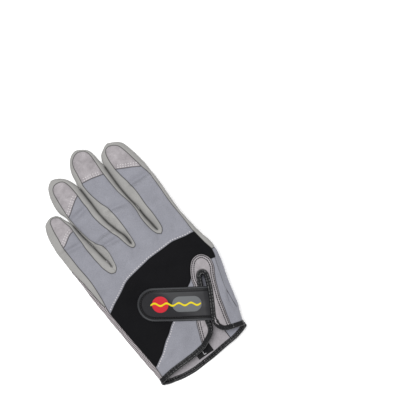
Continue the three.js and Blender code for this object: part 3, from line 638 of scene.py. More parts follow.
PANELS["back_panel"] = both(on_back, inside([
    *KNUCKLE_LINE, (60, -2.5), (60, FAR), (-60, FAR), (-60, 32), (-50.7, 3), (-51.2, -4.5), (-52.4, -13),
]))
PANELS["black_panel"] = both(on_back, inside([
    *KNUCKLE_LINE, (62, -3), (62, -23), (56, -23.7), (55.3, -28.7), (54.4, -31.6), (48.6, -30.2),
    *BLACK_FOOT, (-50.3, -50), (-52.8, -21),
]))
PANELS["wrist_panel"] = both(on_back, inside([(25, -34), *BLACK_FOOT, (-46.5, -120), (25, -120)]))
PANELS["thumb_side_panel"] = both(
    on_back, inside([(40, -25), (54.4, -31.6), (56, -23.7), (OUT, -16), (OUT, -120), (25, -120), (30, -60)])
)
PANELS["heel_patch"] = both(on_palm, inside(HEEL_PATCH))
PANELS["wrist_suede"] = both(on_palm, inside([(17, -89.5), (12, -120), (60, -120), (60, -89.5)]))
PANELS["palm_panel"] = lambda x, y, z: np.ones(len(x))
NAMES = list(PANELS)


def depths(places):
    """One row for each panel, how deep each place lies in it."""
    x, y, z = places.T
    return np.array([field(x, y, z) for field in PANELS.values()])


def first_of(rows):
    return np.argmax(rows > 0, 0)


mesh = skin.data
co = points_of(mesh)
rows = depths(co / MM + ORIGIN)
label = first_of(rows)
edges = read(mesh.edges, "vertices", np.int32, 2)
crossing = edges[label[edges[:, 0]] != label[edges[:, 1]]]
a, b = crossing.T
cover = np.minimum(label[a], label[b])
depth_a, depth_b = rows[cover, a], rows[cover, b]
share = np.clip(depth_a / np.where(depth_a == depth_b, 1, depth_a - depth_b), 0.02, 0.98)
meets = co[a] + (co[b] - co[a]) * share[:, None]
nearer = np.where(share < 0.5, a, b)
total = np.zeros_like(co)
count = np.zeros(len(co))
np.add.at(total, nearer, meets)
np.add.at(count, nearer, 1)
on_seam = count > 0
co[on_seam] = total[on_seam] / count[on_seam, None]
put_points(mesh, co)

shape = bmesh.new()
shape.from_mesh(mesh)
shape.verts.ensure_lookup_table()
for face in list(shape.faces):
    loose = {int(label[v.index]) for v in face.verts if not on_seam[v.index]}
    sewn = [v for v in face.verts if on_seam[v.index]]
    if len(loose) > 1 and len(sewn) == 2 and len(face.verts) == 4 and not any(
        sewn[1] in edge.verts for edge in sewn[0].link_edges
    ):
        bmesh.utils.face_split(face, sewn[0], sewn[1])
shape.to_mesh(mesh)
shape.free()

centres = read(mesh.polygons, "center", wide=3)
corners = read(mesh.loops, "vertex_index", np.int32)
starts = read(mesh.polygons, "loop_start", np.int32)
sizes = read(mesh.polygons, "loop_total", np.int32)
face_of_loop = np.repeat(np.arange(len(sizes)), sizes)
panel_of_face = label[corners[starts]]
touched = np.zeros(len(sizes), bool)
touched[face_of_loop[on_seam[corners]]] = True
panel_of_face[touched] = first_of(depths(centres[touched] / MM + ORIGIN))

# A face with three of its four neighbours in one other panel goes over to it, in three rounds.
order = np.argsort(read(mesh.loops, "edge_index", np.int32), kind="stable")
pairs = face_of_loop[order].reshape(-1, 2)
for _ in range(3):
    votes = np.zeros((len(sizes), len(NAMES)), np.int16)
    np.add.at(votes, (pairs[:, 0], panel_of_face[pairs[:, 1]]), 1)
    np.add.at(votes, (pairs[:, 1], panel_of_face[pairs[:, 0]]), 1)
    winner = votes.argmax(1)
    changed = (votes.max(1) >= sizes - 1) & (winner != panel_of_face)
    panel_of_face[changed] = winner[changed]

# The panels meet in seams that draw the cloth in, and each is cut out as a piece of its own
# with a wall 1.5 mm thick: cloth outside, and a brushed lining on its inner side. The depth of the
# draw is kept as an attribute, for the painted shade that darkens the cloth beside a seam.
WALL = 1.5
SEAM_REACH = 1.5  # how far from a seam the cloth is drawn in
SEAM_DEPTH = 0.65
TAPE_STEP = 0.45  # between the sections of the binding's tape
TAPE_WIDTH = 4.3  # where the tape's edge lies on the cloth
TAPE_REACH = 4.4
STOPS = (0.0, TAPE_REACH / 2, TAPE_REACH)  # where the cloth's level under it is taken
TAPE_BITE = 0.3  # how far the cloth is pressed in under it
ends = read(mesh.edges, "vertices", np.int32, 2)
side_a, side_b = panel_of_face[pairs[:, 0]], panel_of_face[pairs[:, 1]]
parted = side_a != side_b
co = points_of(mesh)


def tree_of(places):
    """A search tree of these places."""
    tree = KDTree(len(places))
    for i, place in enumerate(places):
        tree.insert(place, i)
    tree.balance()
    return tree


def along_edges(rows, parts=3):
    """Places along the mesh's edges that these rows pick."""
    a, b = co[ends[rows, 0]], co[ends[rows, 1]]
    return np.vstack([a + (b - a) * k / parts for k in range(parts + 1)])


def surface_of(mesh, keep=None):
    """A surface that rays can find, of all the mesh's faces or of those to keep."""
    faces = [tuple(face.vertices) for n, face in enumerate(mesh.polygons) if keep is None or keep[n]]
    return BVHTree.FromPolygons([tuple(vertex.co) for vertex in mesh.vertices], faces)


def laid(line, surface, step=0.5, palm=False):
    """Places about a step apart along a plan line, with the surface's normals there."""
    found = []
    for x, y in flowing(line, step):
        x, y = (x - ORIGIN[0]) * MM, (y - ORIGIN[1]) * MM
        start, way = ((x, y, -0.1), (0, 0, 1)) if palm else ((x, y, 0.1), (0, 0, -1))
        place, normal, _, _ = surface.ray_cast(start, way)
        if place and normal[2] * way[2] < 0:
            found.append((np.array(place), np.array(normal)))
    return found


def distance_to(tree, reach):
    """Distance of every point to the tree, in mm, at most the reach."""
    out = np.full(len(co), float(reach))
    for i, p in enumerate(co):
        found = tree.find(p)
        out[i] = min(reach, found[2] / MM)
    return out


opening = NAMES.index("opening")
at_edge = parted & ((side_a == opening) | (side_b == opening))
walls = np.array([name.startswith("side_wall") for name in NAMES])
at_seam = parted & ~at_edge & ~(walls[side_a] & walls[side_b])
# a seam inside a panel: the fold where the thumb's cloth turns under
THUMB_FOLD = [(53.6, -31.5), (52.9, -34.3), (49.6, -45.5), (46.6, -56.2), (44.9, -67.8), (44.3, -79)]
folds = np.array([place for place, _ in laid(THUMB_FOLD, surface_of(mesh))])
to_tape = np.abs(distance_to(tree_of(along_edges(at_edge)), 9) - TAPE_WIDTH)
to_seam = distance_to(tree_of(np.vstack([along_edges(at_seam), folds])), 6)

normals = normals_of(mesh)
draw = SEAM_DEPTH * np.clip(1 - to_seam / SEAM_REACH, 0, 1) ** 2
co -= normals * draw[:, None] * MM
co[:, 2] = np.maximum(co[:, 2], 0)
put_points(mesh, co)
whole_skin = surface_of(mesh)

# The cut edge round the wrist and the slit, walked as one closed line and smoothed. The cloth
# is pressed in a little where the binding's tape will grip it.
beside_edge = {}
for p, q in ends[at_edge]:
    beside_edge.setdefault(int(p), set()).add(int(q))
    beside_edge.setdefault(int(q), set()).add(int(p))
rim = []
while beside_edge:
    here = next(iter(beside_edge))
    walk = [here]
    while beside_edge.get(here):
        ahead = np.array(co[walk[-1]] - co[walk[max(0, len(walk) - 4)]])
        there = max(beside_edge[here], key=lambda q: float(ahead @ (co[q] - co[here])))
        beside_edge[here].discard(there)
        beside_edge[there].discard(here)
        walk.append(there)
        here = there
    beside_edge = {p: q for p, q in beside_edge.items() if q}
    rim = max(rim, walk, key=len)
rim = np.array(rim[:-1])
closed_rim = np.append(rim, rim[0])
edge_run = np.concatenate([[0], np.cumsum(np.linalg.norm(np.diff(co[closed_rim], axis=0), axis=1))])
count = int(edge_run[-1] / (TAPE_STEP * MM))


def between(run, rows, at):
    """Rows of three values, known at these lengths of a line, at other lengths of it."""
    return np.stack([np.interp(at, run, rows[:, k]) for k in range(3)], -1)


def smoothed(rows, spread):
    """Rows round a closed line, averaged with a bell of this spread in mm."""
    reach = int(3 * spread / TAPE_STEP)
    weights = np.exp(-((np.arange(-reach, reach + 1) * TAPE_STEP / spread) ** 2) / 2)
    weights /= weights.sum()
    return sum(w * np.roll(rows, k, axis=0) for w, k in zip(weights, range(-reach, reach + 1)))


def round_the_rim(values, spread):
    """Values of the mesh's points, taken at even steps of the rim and smoothed over this many mm."""
    at = np.arange(count) * edge_run[-1] / count
    return smoothed(between(edge_run, values[closed_rim], at), spread)


def unit(rows):
    return rows / np.maximum(np.linalg.norm(rows, axis=1), 1e-9)[:, None]


rim_points = round_the_rim(co, 0.9)
rim_up = unit(round_the_rim(normals, 2.2))
rim_way = unit(np.roll(rim_points, -1, axis=0) - np.roll(rim_points, 1, axis=0))
rim_in = unit(np.cross(rim_up, rim_way))
if rim_in[:, 1].sum() < 0:
    rim_in = -rim_in
rim_in = unit(smoothed(rim_in, 1.0))
levels = []
for reach in STOPS:
    places = rim_points + rim_in * reach * MM
    found = np.array([whole_skin.find_nearest(place)[0] for place in places])
    levels.append(smoothed(((found - places) * rim_up).sum(1)[:, None], 1.4)[:, 0])
levels = np.array(levels)
rim_tree = tree_of(rim_points)
for i in range(len(co)):
    _, near, away = rim_tree.find(co[i])
    if away > TAPE_REACH * MM:
        continue
    from_rim = (co[i] - rim_points[near]) / MM
    inward, height = rim_in[near] @ from_rim, rim_up[near] @ from_rim
    drawn_in = max(inward, 1 + inward / 2 if inward > 0 else 1 + inward / 8)
    level = np.interp(drawn_in, STOPS, levels[:, near])
    press = float(ease((TAPE_REACH - away / MM) / 1.2))
    co[i] += rim_in[near] * (drawn_in - inward) * MM
    co[i] += rim_up[near] * (level - TAPE_BITE - height) * press * MM
put_points(mesh, co)


def mark(mesh, name, values):
    """Keeps a value for each point of the mesh, for the materials to read."""
    mesh.attributes.new(name, "FLOAT", "POINT").data.foreach_set("value", values.astype(np.float32))


# distance to the nearest seam or tape edge, which the materials read to paint shade beside it
mark(mesh, "seam", np.minimum(to_seam, to_tape))
# distance to the line between two fingers, which the side cloth reads for its painted shade in the gap
to_gap = np.full(len(co), 9.0)
for line in (LITTLE_RING, RING_MIDDLE, MIDDLE_INDEX):
    x, y = co[:, 0] / MM + ORIGIN[0], co[:, 1] / MM + ORIGIN[1]
    beyond = 4 * (1 - ease((y - line[0][1] + 2) / 4)) + 6 * ease((y - line[-1][1] + 6) / 14)
    to_gap = np.minimum(to_gap, np.abs(x - by_height(line)(y)) + beyond)
mark(mesh, "gap", to_gap)
cloth_skin = surface_of(mesh, panel_of_face != opening)

for name in NAMES:
    mesh.materials.append(bpy.data.materials.new("cut_" + name))
mesh.polygons.foreach_set("material_index", panel_of_face.astype(np.int32))
mesh.update()
choose(skin)
bpy.ops.object.duplicate()
inner_sheet = bpy.context.object
inner_sheet.name = "wrist_lining"
choose(skin)
bpy.ops.object.mode_set(mode="EDIT")
bpy.ops.mesh.select_all(action="SELECT")
bpy.ops.mesh.separate(type="MATERIAL")
bpy.ops.object.mode_set(mode="OBJECT")
cut = {}
for piece in list(bpy.context.selected_objects):
    cut[piece.data.materials[0].name.removeprefix("cut_")] = piece
bpy.data.objects.remove(cut.pop("opening"))


def linear(hex_colour):
    """An sRGB hex colour as the linear values that a shader takes."""
    parts = [int(hex_colour[i : i + 2], 16) / 255 for i in (1, 3, 5)]
    return [c / 12.92 if c <= 0.04045 else ((c + 0.055) / 1.055) ** 2.4 for c in parts] + [1]


def add(material, kind, inputs=(), **settings):
    """Adds a node; an input is a value, or a socket to link from."""
    node = material.node_tree.nodes.new("ShaderNode" + kind)
    for key, value in settings.items():
        setattr(node, key, value)
    for key, value in dict(inputs).items():
        if isinstance(value, bpy.types.NodeSocket):
            material.node_tree.links.new(value, node.inputs[key])
        else:
            node.inputs[key].default_value = value
    return node


def new_material(name):
    """An empty node material, with its shader's node and the object's coordinates."""
    material = bpy.data.materials.new(name)
    material.use_nodes = True
    shader = material.node_tree.nodes["Principled BSDF"]
    shader.inputs["Specular IOR Level"].default_value = 0.12
    return material, shader, add(material, "TexCoord").outputs["Object"]


def noise(material, place, size, detail, **more):
    """The grey level of a noise with cells of about this many mm."""
    inputs = {"Vector": place, "Scale": 1 / (size * MM), "Detail": detail, **more}
    return add(material, "TexNoise", inputs).outputs["Fac"]


def waves(material, place, apart, way, distortion, detail_scale=1.0):
    """The grey level of bands this many mm apart along X or Y."""
    inputs = {"Vector": place, "Scale": math.pi / 10 / (apart * MM), "Distortion": distortion, "Detail": 2.0,
              "Detail Scale": detail_scale}
    return add(material, "TexWave", inputs, bands_direction=way).outputs["Fac"]


def calculate(material, operation, *values):
    """The result of a Math node on sockets and numbers."""
    return add(material, "Math", dict(enumerate(values)), operation=operation).outputs[0]


def mapped(material, value, low, high, to_low=0.0, to_high=1.0, **settings):
    """A value brought from one range to another and held within it."""
    inputs = {"Value": value, "From Min": low, "From Max": high, "To Min": to_low, "To Max": to_high}
    return add(material, "MapRange", inputs, **settings).outputs["Result"]


def tones(material, amount, first, second):
    """From the first colour to the second by the amount; each is a hex colour or a socket."""
    first, second = (linear(c) if isinstance(c, str) else c for c in (first, second))
    return add(material, "Mix", {0: amount, 6: first, 7: second}, data_type="RGBA").outputs[2]


def shaded(material, colour, amount):
    """A colour made darker or lighter by a factor."""
    return add(material, "VectorMath", {0: colour, "Scale": amount}, operation="SCALE").outputs[0]


def finish_shader(material, shader, colour, roughness, relief=None, strength=0.0, depth=0.0,
                  specular=0.12, sheen=0.0):
    """Links the colour and the relief, this many mm deep, and sets the rest of the surface."""
    links = material.node_tree.links
    links.new(colour, shader.inputs["Base Color"])
    if relief is not None:
        bump = add(material, "Bump", {"Height": relief, "Strength": strength, "Distance": depth * MM})
        links.new(bump.outputs["Normal"], shader.inputs["Normal"])
    shader.inputs["Roughness"].default_value = roughness
    shader.inputs["Specular IOR Level"].default_value = specular
    shader.inputs["Sheen Weight"].default_value = sheen


def dress(piece, *materials):
    """Gives a piece these materials, with the first on every face."""
    piece.data.materials.clear()
    for material in materials:
        piece.data.materials.append(material)
    for polygon in piece.data.polygons:
        polygon.material_index = 0


# Brushed lining, seen only where the wrist and the slit are open: a warp knit whose loops
# are raised to a short pile, so it is matt and a little mottled. A seam parts a warm grey
# side from a cooler one.
LINING_SEAM = (24.0 * MM, 24.4 * MM)  # its two sides along X
lining, shader, place = new_material("brushed tricot lining")
pile = noise(lining, place, 1.6, 5.0)
past_seam = mapped(lining, add(lining, "SeparateXYZ", {0: place}).outputs["X"], *LINING_SEAM)
lining_tone = tones(
    lining, past_seam, tones(lining, pile, "#8f8b8f", "#aeaaae"), tones(lining, pile, "#81828b", "#9a9ba5")
)
finish_shader(lining, shader, lining_tone, 0.95, pile, 0.5, 0.3)


# The lining of the wrist is one loose sheet inside the panels, so that no seam shows in the mouth.
LINING_TOP = -25
LINING_THICK = 0.15
LINING_SHARE = 0.2  # of its faces that stay
sheet_faces = (centres[:, 1] / MM + ORIGIN[1] > LINING_TOP) | (panel_of_face == opening)
choose(inner_sheet)
bpy.ops.object.mode_set(mode="EDIT")
bpy.ops.mesh.select_mode(type="FACE")
bpy.ops.mesh.select_all(action="DESELECT")
bpy.ops.object.mode_set(mode="OBJECT")
inner_sheet.data.polygons.foreach_set("select", sheet_faces)
bpy.ops.object.mode_set(mode="EDIT")
bpy.ops.mesh.delete(type="FACE")
bpy.ops.object.mode_set(mode="OBJECT")
add_modifier(inner_sheet, "SMOOTH", factor=0.5, iterations=6)
sheet_points = points_of(inner_sheet.data)
put_points(inner_sheet.data, sheet_points - normals_of(inner_sheet.data) * (WALL + 0.05) * MM)
dress(inner_sheet, lining)
add_modifier(inner_sheet, "DECIMATE", ratio=LINING_SHARE)
add_modifier(inner_sheet, "SOLIDIFY", thickness=LINING_THICK * MM, offset=-1, use_quality_normals=True)
bpy.ops.object.shade_smooth()
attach(inner_sheet, "root")


def finish_panel(name, material):
    """Gives a cut piece its wall, its cloth and its place on the body."""
    piece = cut[name]
    piece.name = name + "_cloth"
    dress(piece, material, lining)
    add_modifier(
        piece, "SOLIDIFY", thickness=WALL * MM, offset=-1, use_quality_normals=True,
        material_offset=1, material_offset_rim=0,
    )
    choose(piece)
    bpy.ops.object.shade_smooth_by_angle(angle=math.radians(50))
    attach(piece, "root")
    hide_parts(name)
    return piece


def seam_shade_and_wear(material, place, colour):
    """The colour, with painted shade for a millimetre beside each seam, and slow blotches of wear."""
    depth = add(material, "Attribute", attribute_name="seam").outputs["Fac"]
    # painted shade: down to about a quarter of the colour at the seam, fading out 0.7 mm away
    shade = mapped(material, depth, 0.05, 0.7, 0.26, interpolation_type="SMOOTHSTEP")
    wear = mapped(material, noise(material, place, 14, 3.0), 0.3, 0.7, 0.94, 1.05)
    return shaded(material, colour, calculate(material, "MULTIPLY", shade, wear))


# The knit of the back, wrist and thumb: a blue-grey polyester jersey on thin foam. Its wales
# run along the hand as faint ribs a little under a millimetre apart.
RIB_PITCH = 0.9
knit, shader, place = new_material("polyester jersey on foam")
wales = waves(knit, place, RIB_PITCH, "X", 1.2, 1.5)
courses = waves(knit, place, RIB_PITCH, "Y", 1.0)
loops = calculate(knit, "MULTIPLY", wales, courses)
mixed = calculate(knit, "MULTIPLY_ADD", loops, 0.3, noise(knit, place, 0.8, 4.0))
knit_tone = seam_shade_and_wear(knit, place, tones(knit, mixed, "#78787f", "#999aa3"))
finish_shader(knit, shader, knit_tone, 0.88, loops, 0.5, 0.2, sheen=0.15)
for name in ("back_panel", "wrist_panel", "thumb_side_panel", "thumb_knit"):
    finish_panel(name, knit)


# The broad black panel across the hand is neoprene under a fine black jersey: almost even,
# very dark, with a faint grain and slow dents.
neoprene, shader, place = new_material("black neoprene under jersey")
grain = noise(neoprene, place, 0.9, 5.0)
black = seam_shade_and_wear(neoprene, place, tones(neoprene, grain, "#070709", "#121215"))
finish_shader(neoprene, shader, black, 0.8, grain, 0.35, 0.2)
finish_panel("black_panel", neoprene)


# Suede: pinkish grey microfibre with a brushed nap that lies in slow strokes. It covers the
# fingertips, the thumb, the slit's surround and two patches at the wrist.
suede, shader, place = new_material("microfibre suede")
nap = noise(suede, place, 0.7, 6.0, Roughness=0.65)
strokes = noise(suede, place, 7, 3.0, Distortion=0.6)
brushed = mapped(suede, calculate(suede, "ADD", nap, strokes), 0.7, 1.3)
suede_tone = seam_shade_and_wear(suede, place, tones(suede, brushed, "#8b8689", "#ada8ab"))
finish_shader(suede, shader, suede_tone, 0.96, nap, 0.4, 0.2, sheen=0.3)
for finger in FINGERS:
    finish_panel("tip_back_" + finger, suede)
    finish_panel("tip_palm_" + finger, suede)
for name in ("placket", "heel_patch", "wrist_suede", "thumb_suede"):
    finish_panel(name, suede)


# The side walls between the fingers are a smooth, finely woven stretch cloth, warm grey
# and matt, with painted shade darkening them down in the gaps between the fingers.
side_cloth, shader, place = new_material("woven stretch cloth")
weave = noise(side_cloth, place, 0.6, 3.0)
before_gap_shade = seam_shade_and_wear(side_cloth, place, tones(side_cloth, weave, "#8f8e8c", "#a4a3a1"))
gap = add(side_cloth, "Attribute", attribute_name="gap").outputs["Fac"]
# painted shade, darkening the side walls down in the gap between two fingers
gap_shade = mapped(side_cloth, gap, 0.0, 1.9, 0.3, interpolation_type="SMOOTHSTEP")
finish_shader(side_cloth, shader, shaded(side_cloth, before_gap_shade, gap_shade), 0.85, weave, 0.25, 0.15)
for name in NAMES:
    if name.startswith("side_wall"):
        finish_panel(name, side_cloth)


# The palm is a pale pinkish cloth printed with dark grip dots. They stand in columns that
# wave slowly along the hand, with a low ridge of the cloth's own between two columns.
DOT_PITCH = 1.35
COLUMN_WAVE = 30
COLUMN_SWING = 1.5
palm_print, shader, place = new_material("dotted grip cloth")
apart = add(palm_print, "SeparateXYZ", {0: place})
turn = calculate(palm_print, "MULTIPLY", apart.outputs["Y"], 2 * math.pi / (COLUMN_WAVE * MM))
swing = calculate(palm_print, "SINE", turn)
across = calculate(palm_print, "MULTIPLY_ADD", swing, COLUMN_SWING * MM, apart.outputs["X"])
steps = {}
for n, socket in enumerate((across, apart.outputs["Y"])):
    cell = calculate(palm_print, "FRACT", calculate(palm_print, "MULTIPLY", socket, 1 / (DOT_PITCH * MM)))
    steps[n] = calculate(palm_print, "SUBTRACT", cell, 0.5)
from_middle = add(palm_print, "CombineXYZ", steps).outputs[0]
radius = add(palm_print, "VectorMath", {0: from_middle}, operation="LENGTH").outputs["Value"]
dot = mapped(palm_print, radius, 0.29, 0.38, 1.0, 0.0, interpolation_type="SMOOTHSTEP")
ridge = calculate(palm_print, "SINE", calculate(palm_print, "MULTIPLY", across, math.pi / (DOT_PITCH * MM)))
tone = tones(palm_print, mapped(palm_print, ridge, -1.0, 1.0), "#a19b9e", "#bab4b6")
dotted = seam_shade_and_wear(palm_print, place, tones(palm_print, dot, tone, "#332d30"))
finish_shader(palm_print, shader, dotted, 0.9, dot, 0.5, 0.2)
finish_panel("palm_panel", palm_print)


# The binding: a dark tape folded over the edge all round the wrist and the slit, and sewn
# through. One section is swept along the edge: a round fold, then two rolls on either side of
# the cloth with the stitches sunk between them.
TAPE_SECTION = [  # distance in from the cloth's edge, and height over its outer face
    (4.4, -0.4), (4.3, 0.1), (3.95, 0.5), (3.5, 0.62), (3.05, 0.45), (2.65, 0.2), (2.25, 0.45),
    (1.75, 0.9), (1.1, 1.1), (0.4, 0.9), (-0.15, 0.3), (-0.4, -0.85), (-0.15, -2.0), (0.4, -2.65),
    (1.1, -2.9), (1.75, -2.7), (2.25, -2.25), (2.65, -2.0), (3.05, -2.25), (3.5, -2.45),
    (3.95, -2.3), (4.3, -1.8), (4.4, -1.1),
]
TAPE_ROW = 2.65  # how far in its stitches run
GATHER = 0.1  # how far they pucker the tape
TABLE = 0.02  # nothing comes nearer the table than this


def above_table(places):
    """The places, with any that lie too low raised to just over the table."""
    places[:, 2] = np.maximum(places[:, 2], TABLE * MM)
    return places


def on_tape(inward, height):
    """Places round the whole rim, this far in from the edge and over the cloth's face."""
    level = np.array([np.interp(max(inward, 0), STOPS, levels[:, i]) for i in range(count)])
    return above_table(rim_points + rim_in * inward * MM + rim_up * (level + height * MM)[:, None])


def grid(name, along, across):
    """A flat sheet two units wide with so many cells along X and across Y, still to be shaped."""
    choose()
    bpy.ops.mesh.primitive_grid_add(x_subdivisions=along, y_subdivisions=across, size=2)
    sheet = bpy.context.object
    sheet.name = name
    return sheet


tape, shader, place = new_material("satin grosgrain tape")
ribs = noise(tape, place, 0.8, 3.0)
finish_shader(tape, shader, tones(tape, ribs, "#050507", "#131316"), 0.33, ribs, 0.4, 0.2, specular=0.42)
piece = grid("cuff_binding_tape", count, len(TAPE_SECTION))
run = np.arange(count) * TAPE_STEP
gather = np.cos(2 * math.pi * run / 2.9) + 0.6 * np.sin(0.37 * run) * np.cos(2 * math.pi * run / 4.3)
rows = []
for inward, height in TAPE_SECTION:
    pucker = GATHER * gather * np.sign(height + 0.75)
    rows.append(on_tape(inward, height) + rim_up * pucker[:, None] * MM)
rows = np.array(rows)
flat = points_of(piece.data)
i = np.round((flat[:, 0] + 1) / 2 * count).astype(int) % count
j = np.round((flat[:, 1] + 1) / 2 * len(TAPE_SECTION)).astype(int) % len(TAPE_SECTION)
put_points(piece.data, above_table(rows[j, i]))
dress(piece, tape)
face_outward(weld=True)
bpy.ops.object.shade_smooth()
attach(piece, "root")
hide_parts("cuff_binding")
tape_rows = [
    list(zip(on_tape(TAPE_ROW, 0.3), rim_up)),
    list(zip(on_tape(TAPE_ROW, -2.1), -rim_up)),
]


# The closing tab: soft moulded PVC, 30 mm wide, laid over the black panel and the left of the
# slit, its end sewn under the right-hand flap. A stitched channel runs inside a round welt.
TAB_END = np.array([-15.2, -35.4])
TAB_TURN = math.radians(-33)
TAB_HALF = 15.25
WELT = 1.15  # radius of the welt round its edge
TAB_FLOOR = 0.35  # its underside, over the cloth
TAB_THICK = 1.4
TAB_SINK = 0.8  # how far its end dips to pass under the flap's tape
SETTLE_TURNS = 16  # rounds of smoothing for the floor it lies on
PROP_TURNS = 13  # of them, those in which the cloth below still props the floor
tab_along = np.array([math.cos(TAB_TURN), math.sin(TAB_TURN)])
tab_aside = np.array([-tab_along[1], tab_along[0]])


def plan_on_tab(u, v):
    """Plan place in mm of what lies this far along and aside from the tab's round end."""
    return TAB_END[0] + tab_along[0] * u + tab_aside[0] * v, TAB_END[1] + tab_along[1] * u + tab_aside[1] * v


FLOOR_STEP = 1.5
floor_u = np.arange(-20, 74, FLOOR_STEP)
floor_v = np.arange(-19.5, 21, FLOOR_STEP)
under = np.zeros((len(floor_u), len(floor_v)))
for i, u in enumerate(floor_u):
    for j, v in enumerate(floor_v):
        x, y = plan_on_tab(u, v)
        place, _, _, _ = whole_skin.ray_cast(((x - ORIGIN[0]) * MM, (y - ORIGIN[1]) * MM, 0.1), (0, 0, -1))
        if place:
            under[i, j] = place[2] / MM - flap_rise(x, y)
cloth_under = under.copy()
for turn in range(SETTLE_TURNS):
    wide = np.pad(under, 1, mode="edge")
    under = (wide[:-2, 1:-1] + wide[2:, 1:-1] + wide[1:-1, :-2] + wide[1:-1, 2:]) / 4
    if turn < PROP_TURNS:
        under = np.maximum(under, cloth_under)


def tab_end_at(v):
    """Where the tab ends under the flap's tape, at this place across it."""
    low, high = np.full_like(v, 30.0), np.full_like(v, 80.0)
    lowest = SLIT_RIGHT.index(min(SLIT_RIGHT, key=lambda p: p[0]))
    slit_right = by_height(SLIT_RIGHT[: lowest + 1])
    for _ in range(30):
        middle = (low + high) / 2
        x, y = plan_on_tab(middle, v)
        past = x - slit_right(y) > TAPE_REACH / 2
        high = np.where(past, middle, high)
        low = np.where(past, low, middle)
    return low


def on_tab(u, v, height):
    """Places at this height over the tab's floor, in metres."""
    i = np.clip((u - floor_u[0]) / FLOOR_STEP, 0, len(floor_u) - 1.001)
    j = np.clip((v - floor_v[0]) / FLOOR_STEP, 0, len(floor_v) - 1.001)
    a, b = i.astype(int), j.astype(int)
    s, t = i - a, j - b
    near = under[a, b] * (1 - s) + under[a + 1, b] * s
    far = under[a, b + 1] * (1 - s) + under[a + 1, b + 1] * s
    z = near * (1 - t) + far * t + TAB_FLOOR + height - TAB_SINK * ease(1 - (tab_end_at(v) - u) / 7)
    return (np.stack([*plan_on_tab(u, v), z], 1) - ORIGIN) * MM


def tab_sheet(name, half, across_cells, along_cells):
    """A sheet with the tab's round-ended outline, `half` wide each way, still flat."""
    sheet = grid(name, along_cells, across_cells)
    co = points_of(sheet.data)
    v = half * np.sin(co[:, 1] * math.pi / 2)
    start = -np.sqrt(np.maximum(half * half - v * v, 0))
    u = start + (tab_end_at(v) - start) * (co[:, 0] + 1) / 2
    return sheet, u, v


def round_the_tab(half, top_end, foot_end):
    """Places along and aside, from the top edge's end round the round end to the foot's."""
    turns = np.linspace(math.pi / 2, math.pi * 1.5, 40)
    top, foot = np.linspace(top_end, 0, 60)[:-1], np.linspace(0, foot_end, 60)[1:]
    u = np.concatenate([top, half * np.cos(turns), foot])
    v = np.concatenate([np.full(len(top), half), half * np.sin(turns), np.full(len(foot), -half)])
    return u, v


pvc, shader, place = new_material("moulded soft PVC")
grain = noise(pvc, place, 0.5, 2.0)
in_channel = add(pvc, "Attribute", attribute_name="channel").outputs["Fac"]
field_tone = tones(pvc, in_channel, tones(pvc, grain, "#1d1d20", "#28282b"), "#050506")
finish_shader(pvc, shader, field_tone, 0.5, grain, 0.25, 0.1, specular=0.3)
CHANNEL_DEPTH = 0.75
CHANNEL_WIDTH = 1.5
field_half = TAB_HALF - 2 * WELT + 0.15
sheet, u, v = tab_sheet("tab_field", field_half, 60, 150)
in_from_edge = np.where(u < 0, field_half - np.hypot(u, v), field_half - np.abs(v))
rise = TAB_THICK - 0.35 + CHANNEL_DEPTH * ease((in_from_edge - CHANNEL_WIDTH) / 0.8)
put_points(sheet.data, on_tab(u, v, rise))
mark(sheet.data, "channel", 1 - ease((in_from_edge - CHANNEL_WIDTH) / 0.5))
dress(sheet, pvc)
add_modifier(sheet, "SOLIDIFY", thickness=TAB_THICK * MM, offset=-1)
bpy.ops.object.shade_smooth_by_angle(angle=math.radians(40))
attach(sheet, "root")
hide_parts("tab")

# The welt round the tab is a cord of the same soft PVC with a leather-like grain.
welt_pvc, shader, place = new_material("textured PVC welt")
grain = noise(welt_pvc, place, 0.6, 3.0)
welt_tone = tones(welt_pvc, grain, "#1d1e20", "#37383c")
finish_shader(welt_pvc, shader, welt_tone, 0.5, grain, 0.5, 0.2, specular=0.4)
centre_half = TAB_HALF - WELT
top_end, foot_end = tab_end_at(np.array([centre_half, -centre_half]))
u, v = round_the_tab(centre_half, top_end, foot_end)
path = on_tab(u, v, np.full(len(u), 1.2))
line = bpy.data.curves.new("tab_welt", "CURVE")
line.dimensions = "3D"
line.bevel_depth = WELT * MM
line.bevel_resolution = 4
line.use_fill_caps = True
spline = line.splines.new("POLY")
spline.points.add(len(path) - 1)
spline.points.foreach_set("co", np.hstack([path, np.ones((len(path), 1))]).ravel())
welt = bpy.data.objects.new("tab_welt", line)
bpy.context.collection.objects.link(welt)
choose(welt)
bpy.ops.object.convert(target="MESH")
welt = bpy.context.object
dress(welt, welt_pvc)
bpy.ops.object.shade_smooth_by_angle(angle=math.radians(60))
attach(welt, "root")
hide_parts("tab_piping")


# A plain picture is moulded on the tab in coloured PVC: a red sun, a grey bank and a yellow
# wave across both, each a low rounded form.
def badge(name, start, end, half, height, colour, wave=0, wave_length=9):
    """A round-ended bar or wave along the tab's middle, standing this proud of the field."""
    bar = grid(name, 140, 20)
    co = points_of(bar.data)
    v = half * np.sin(co[:, 1] * math.pi / 2)
    bulge = np.sqrt(np.maximum(half * half - v * v, 0))
    u = (start - bulge) + (end - start + 2 * bulge) * (co[:, 0] + 1) / 2
    inner = half - np.hypot(u - np.clip(u, start, end), v)
    rise = TAB_THICK + 0.35 + height * np.sqrt(1 - (1 - np.clip(inner / 0.6, 0, 1)) ** 2)
    put_points(bar.data, on_tab(u, v + wave * np.sin((u - start) * 2 * math.pi / wave_length), rise))
    add_modifier(bar, "SOLIDIFY", thickness=(height + 0.2) * MM, offset=-1)
    coloured, shader, place = new_material(name.replace("_", " ") + " PVC")
    deep = [c * 0.88 for c in linear(colour)[:3]] + [1]
    finish_shader(coloured, shader, tones(coloured, noise(coloured, place, 0.5, 2.0), deep, colour), 0.45)
    dress(bar, coloured)
    bpy.ops.object.shade_smooth_by_angle(angle=math.radians(50))
    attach(bar, "root")
    return bar


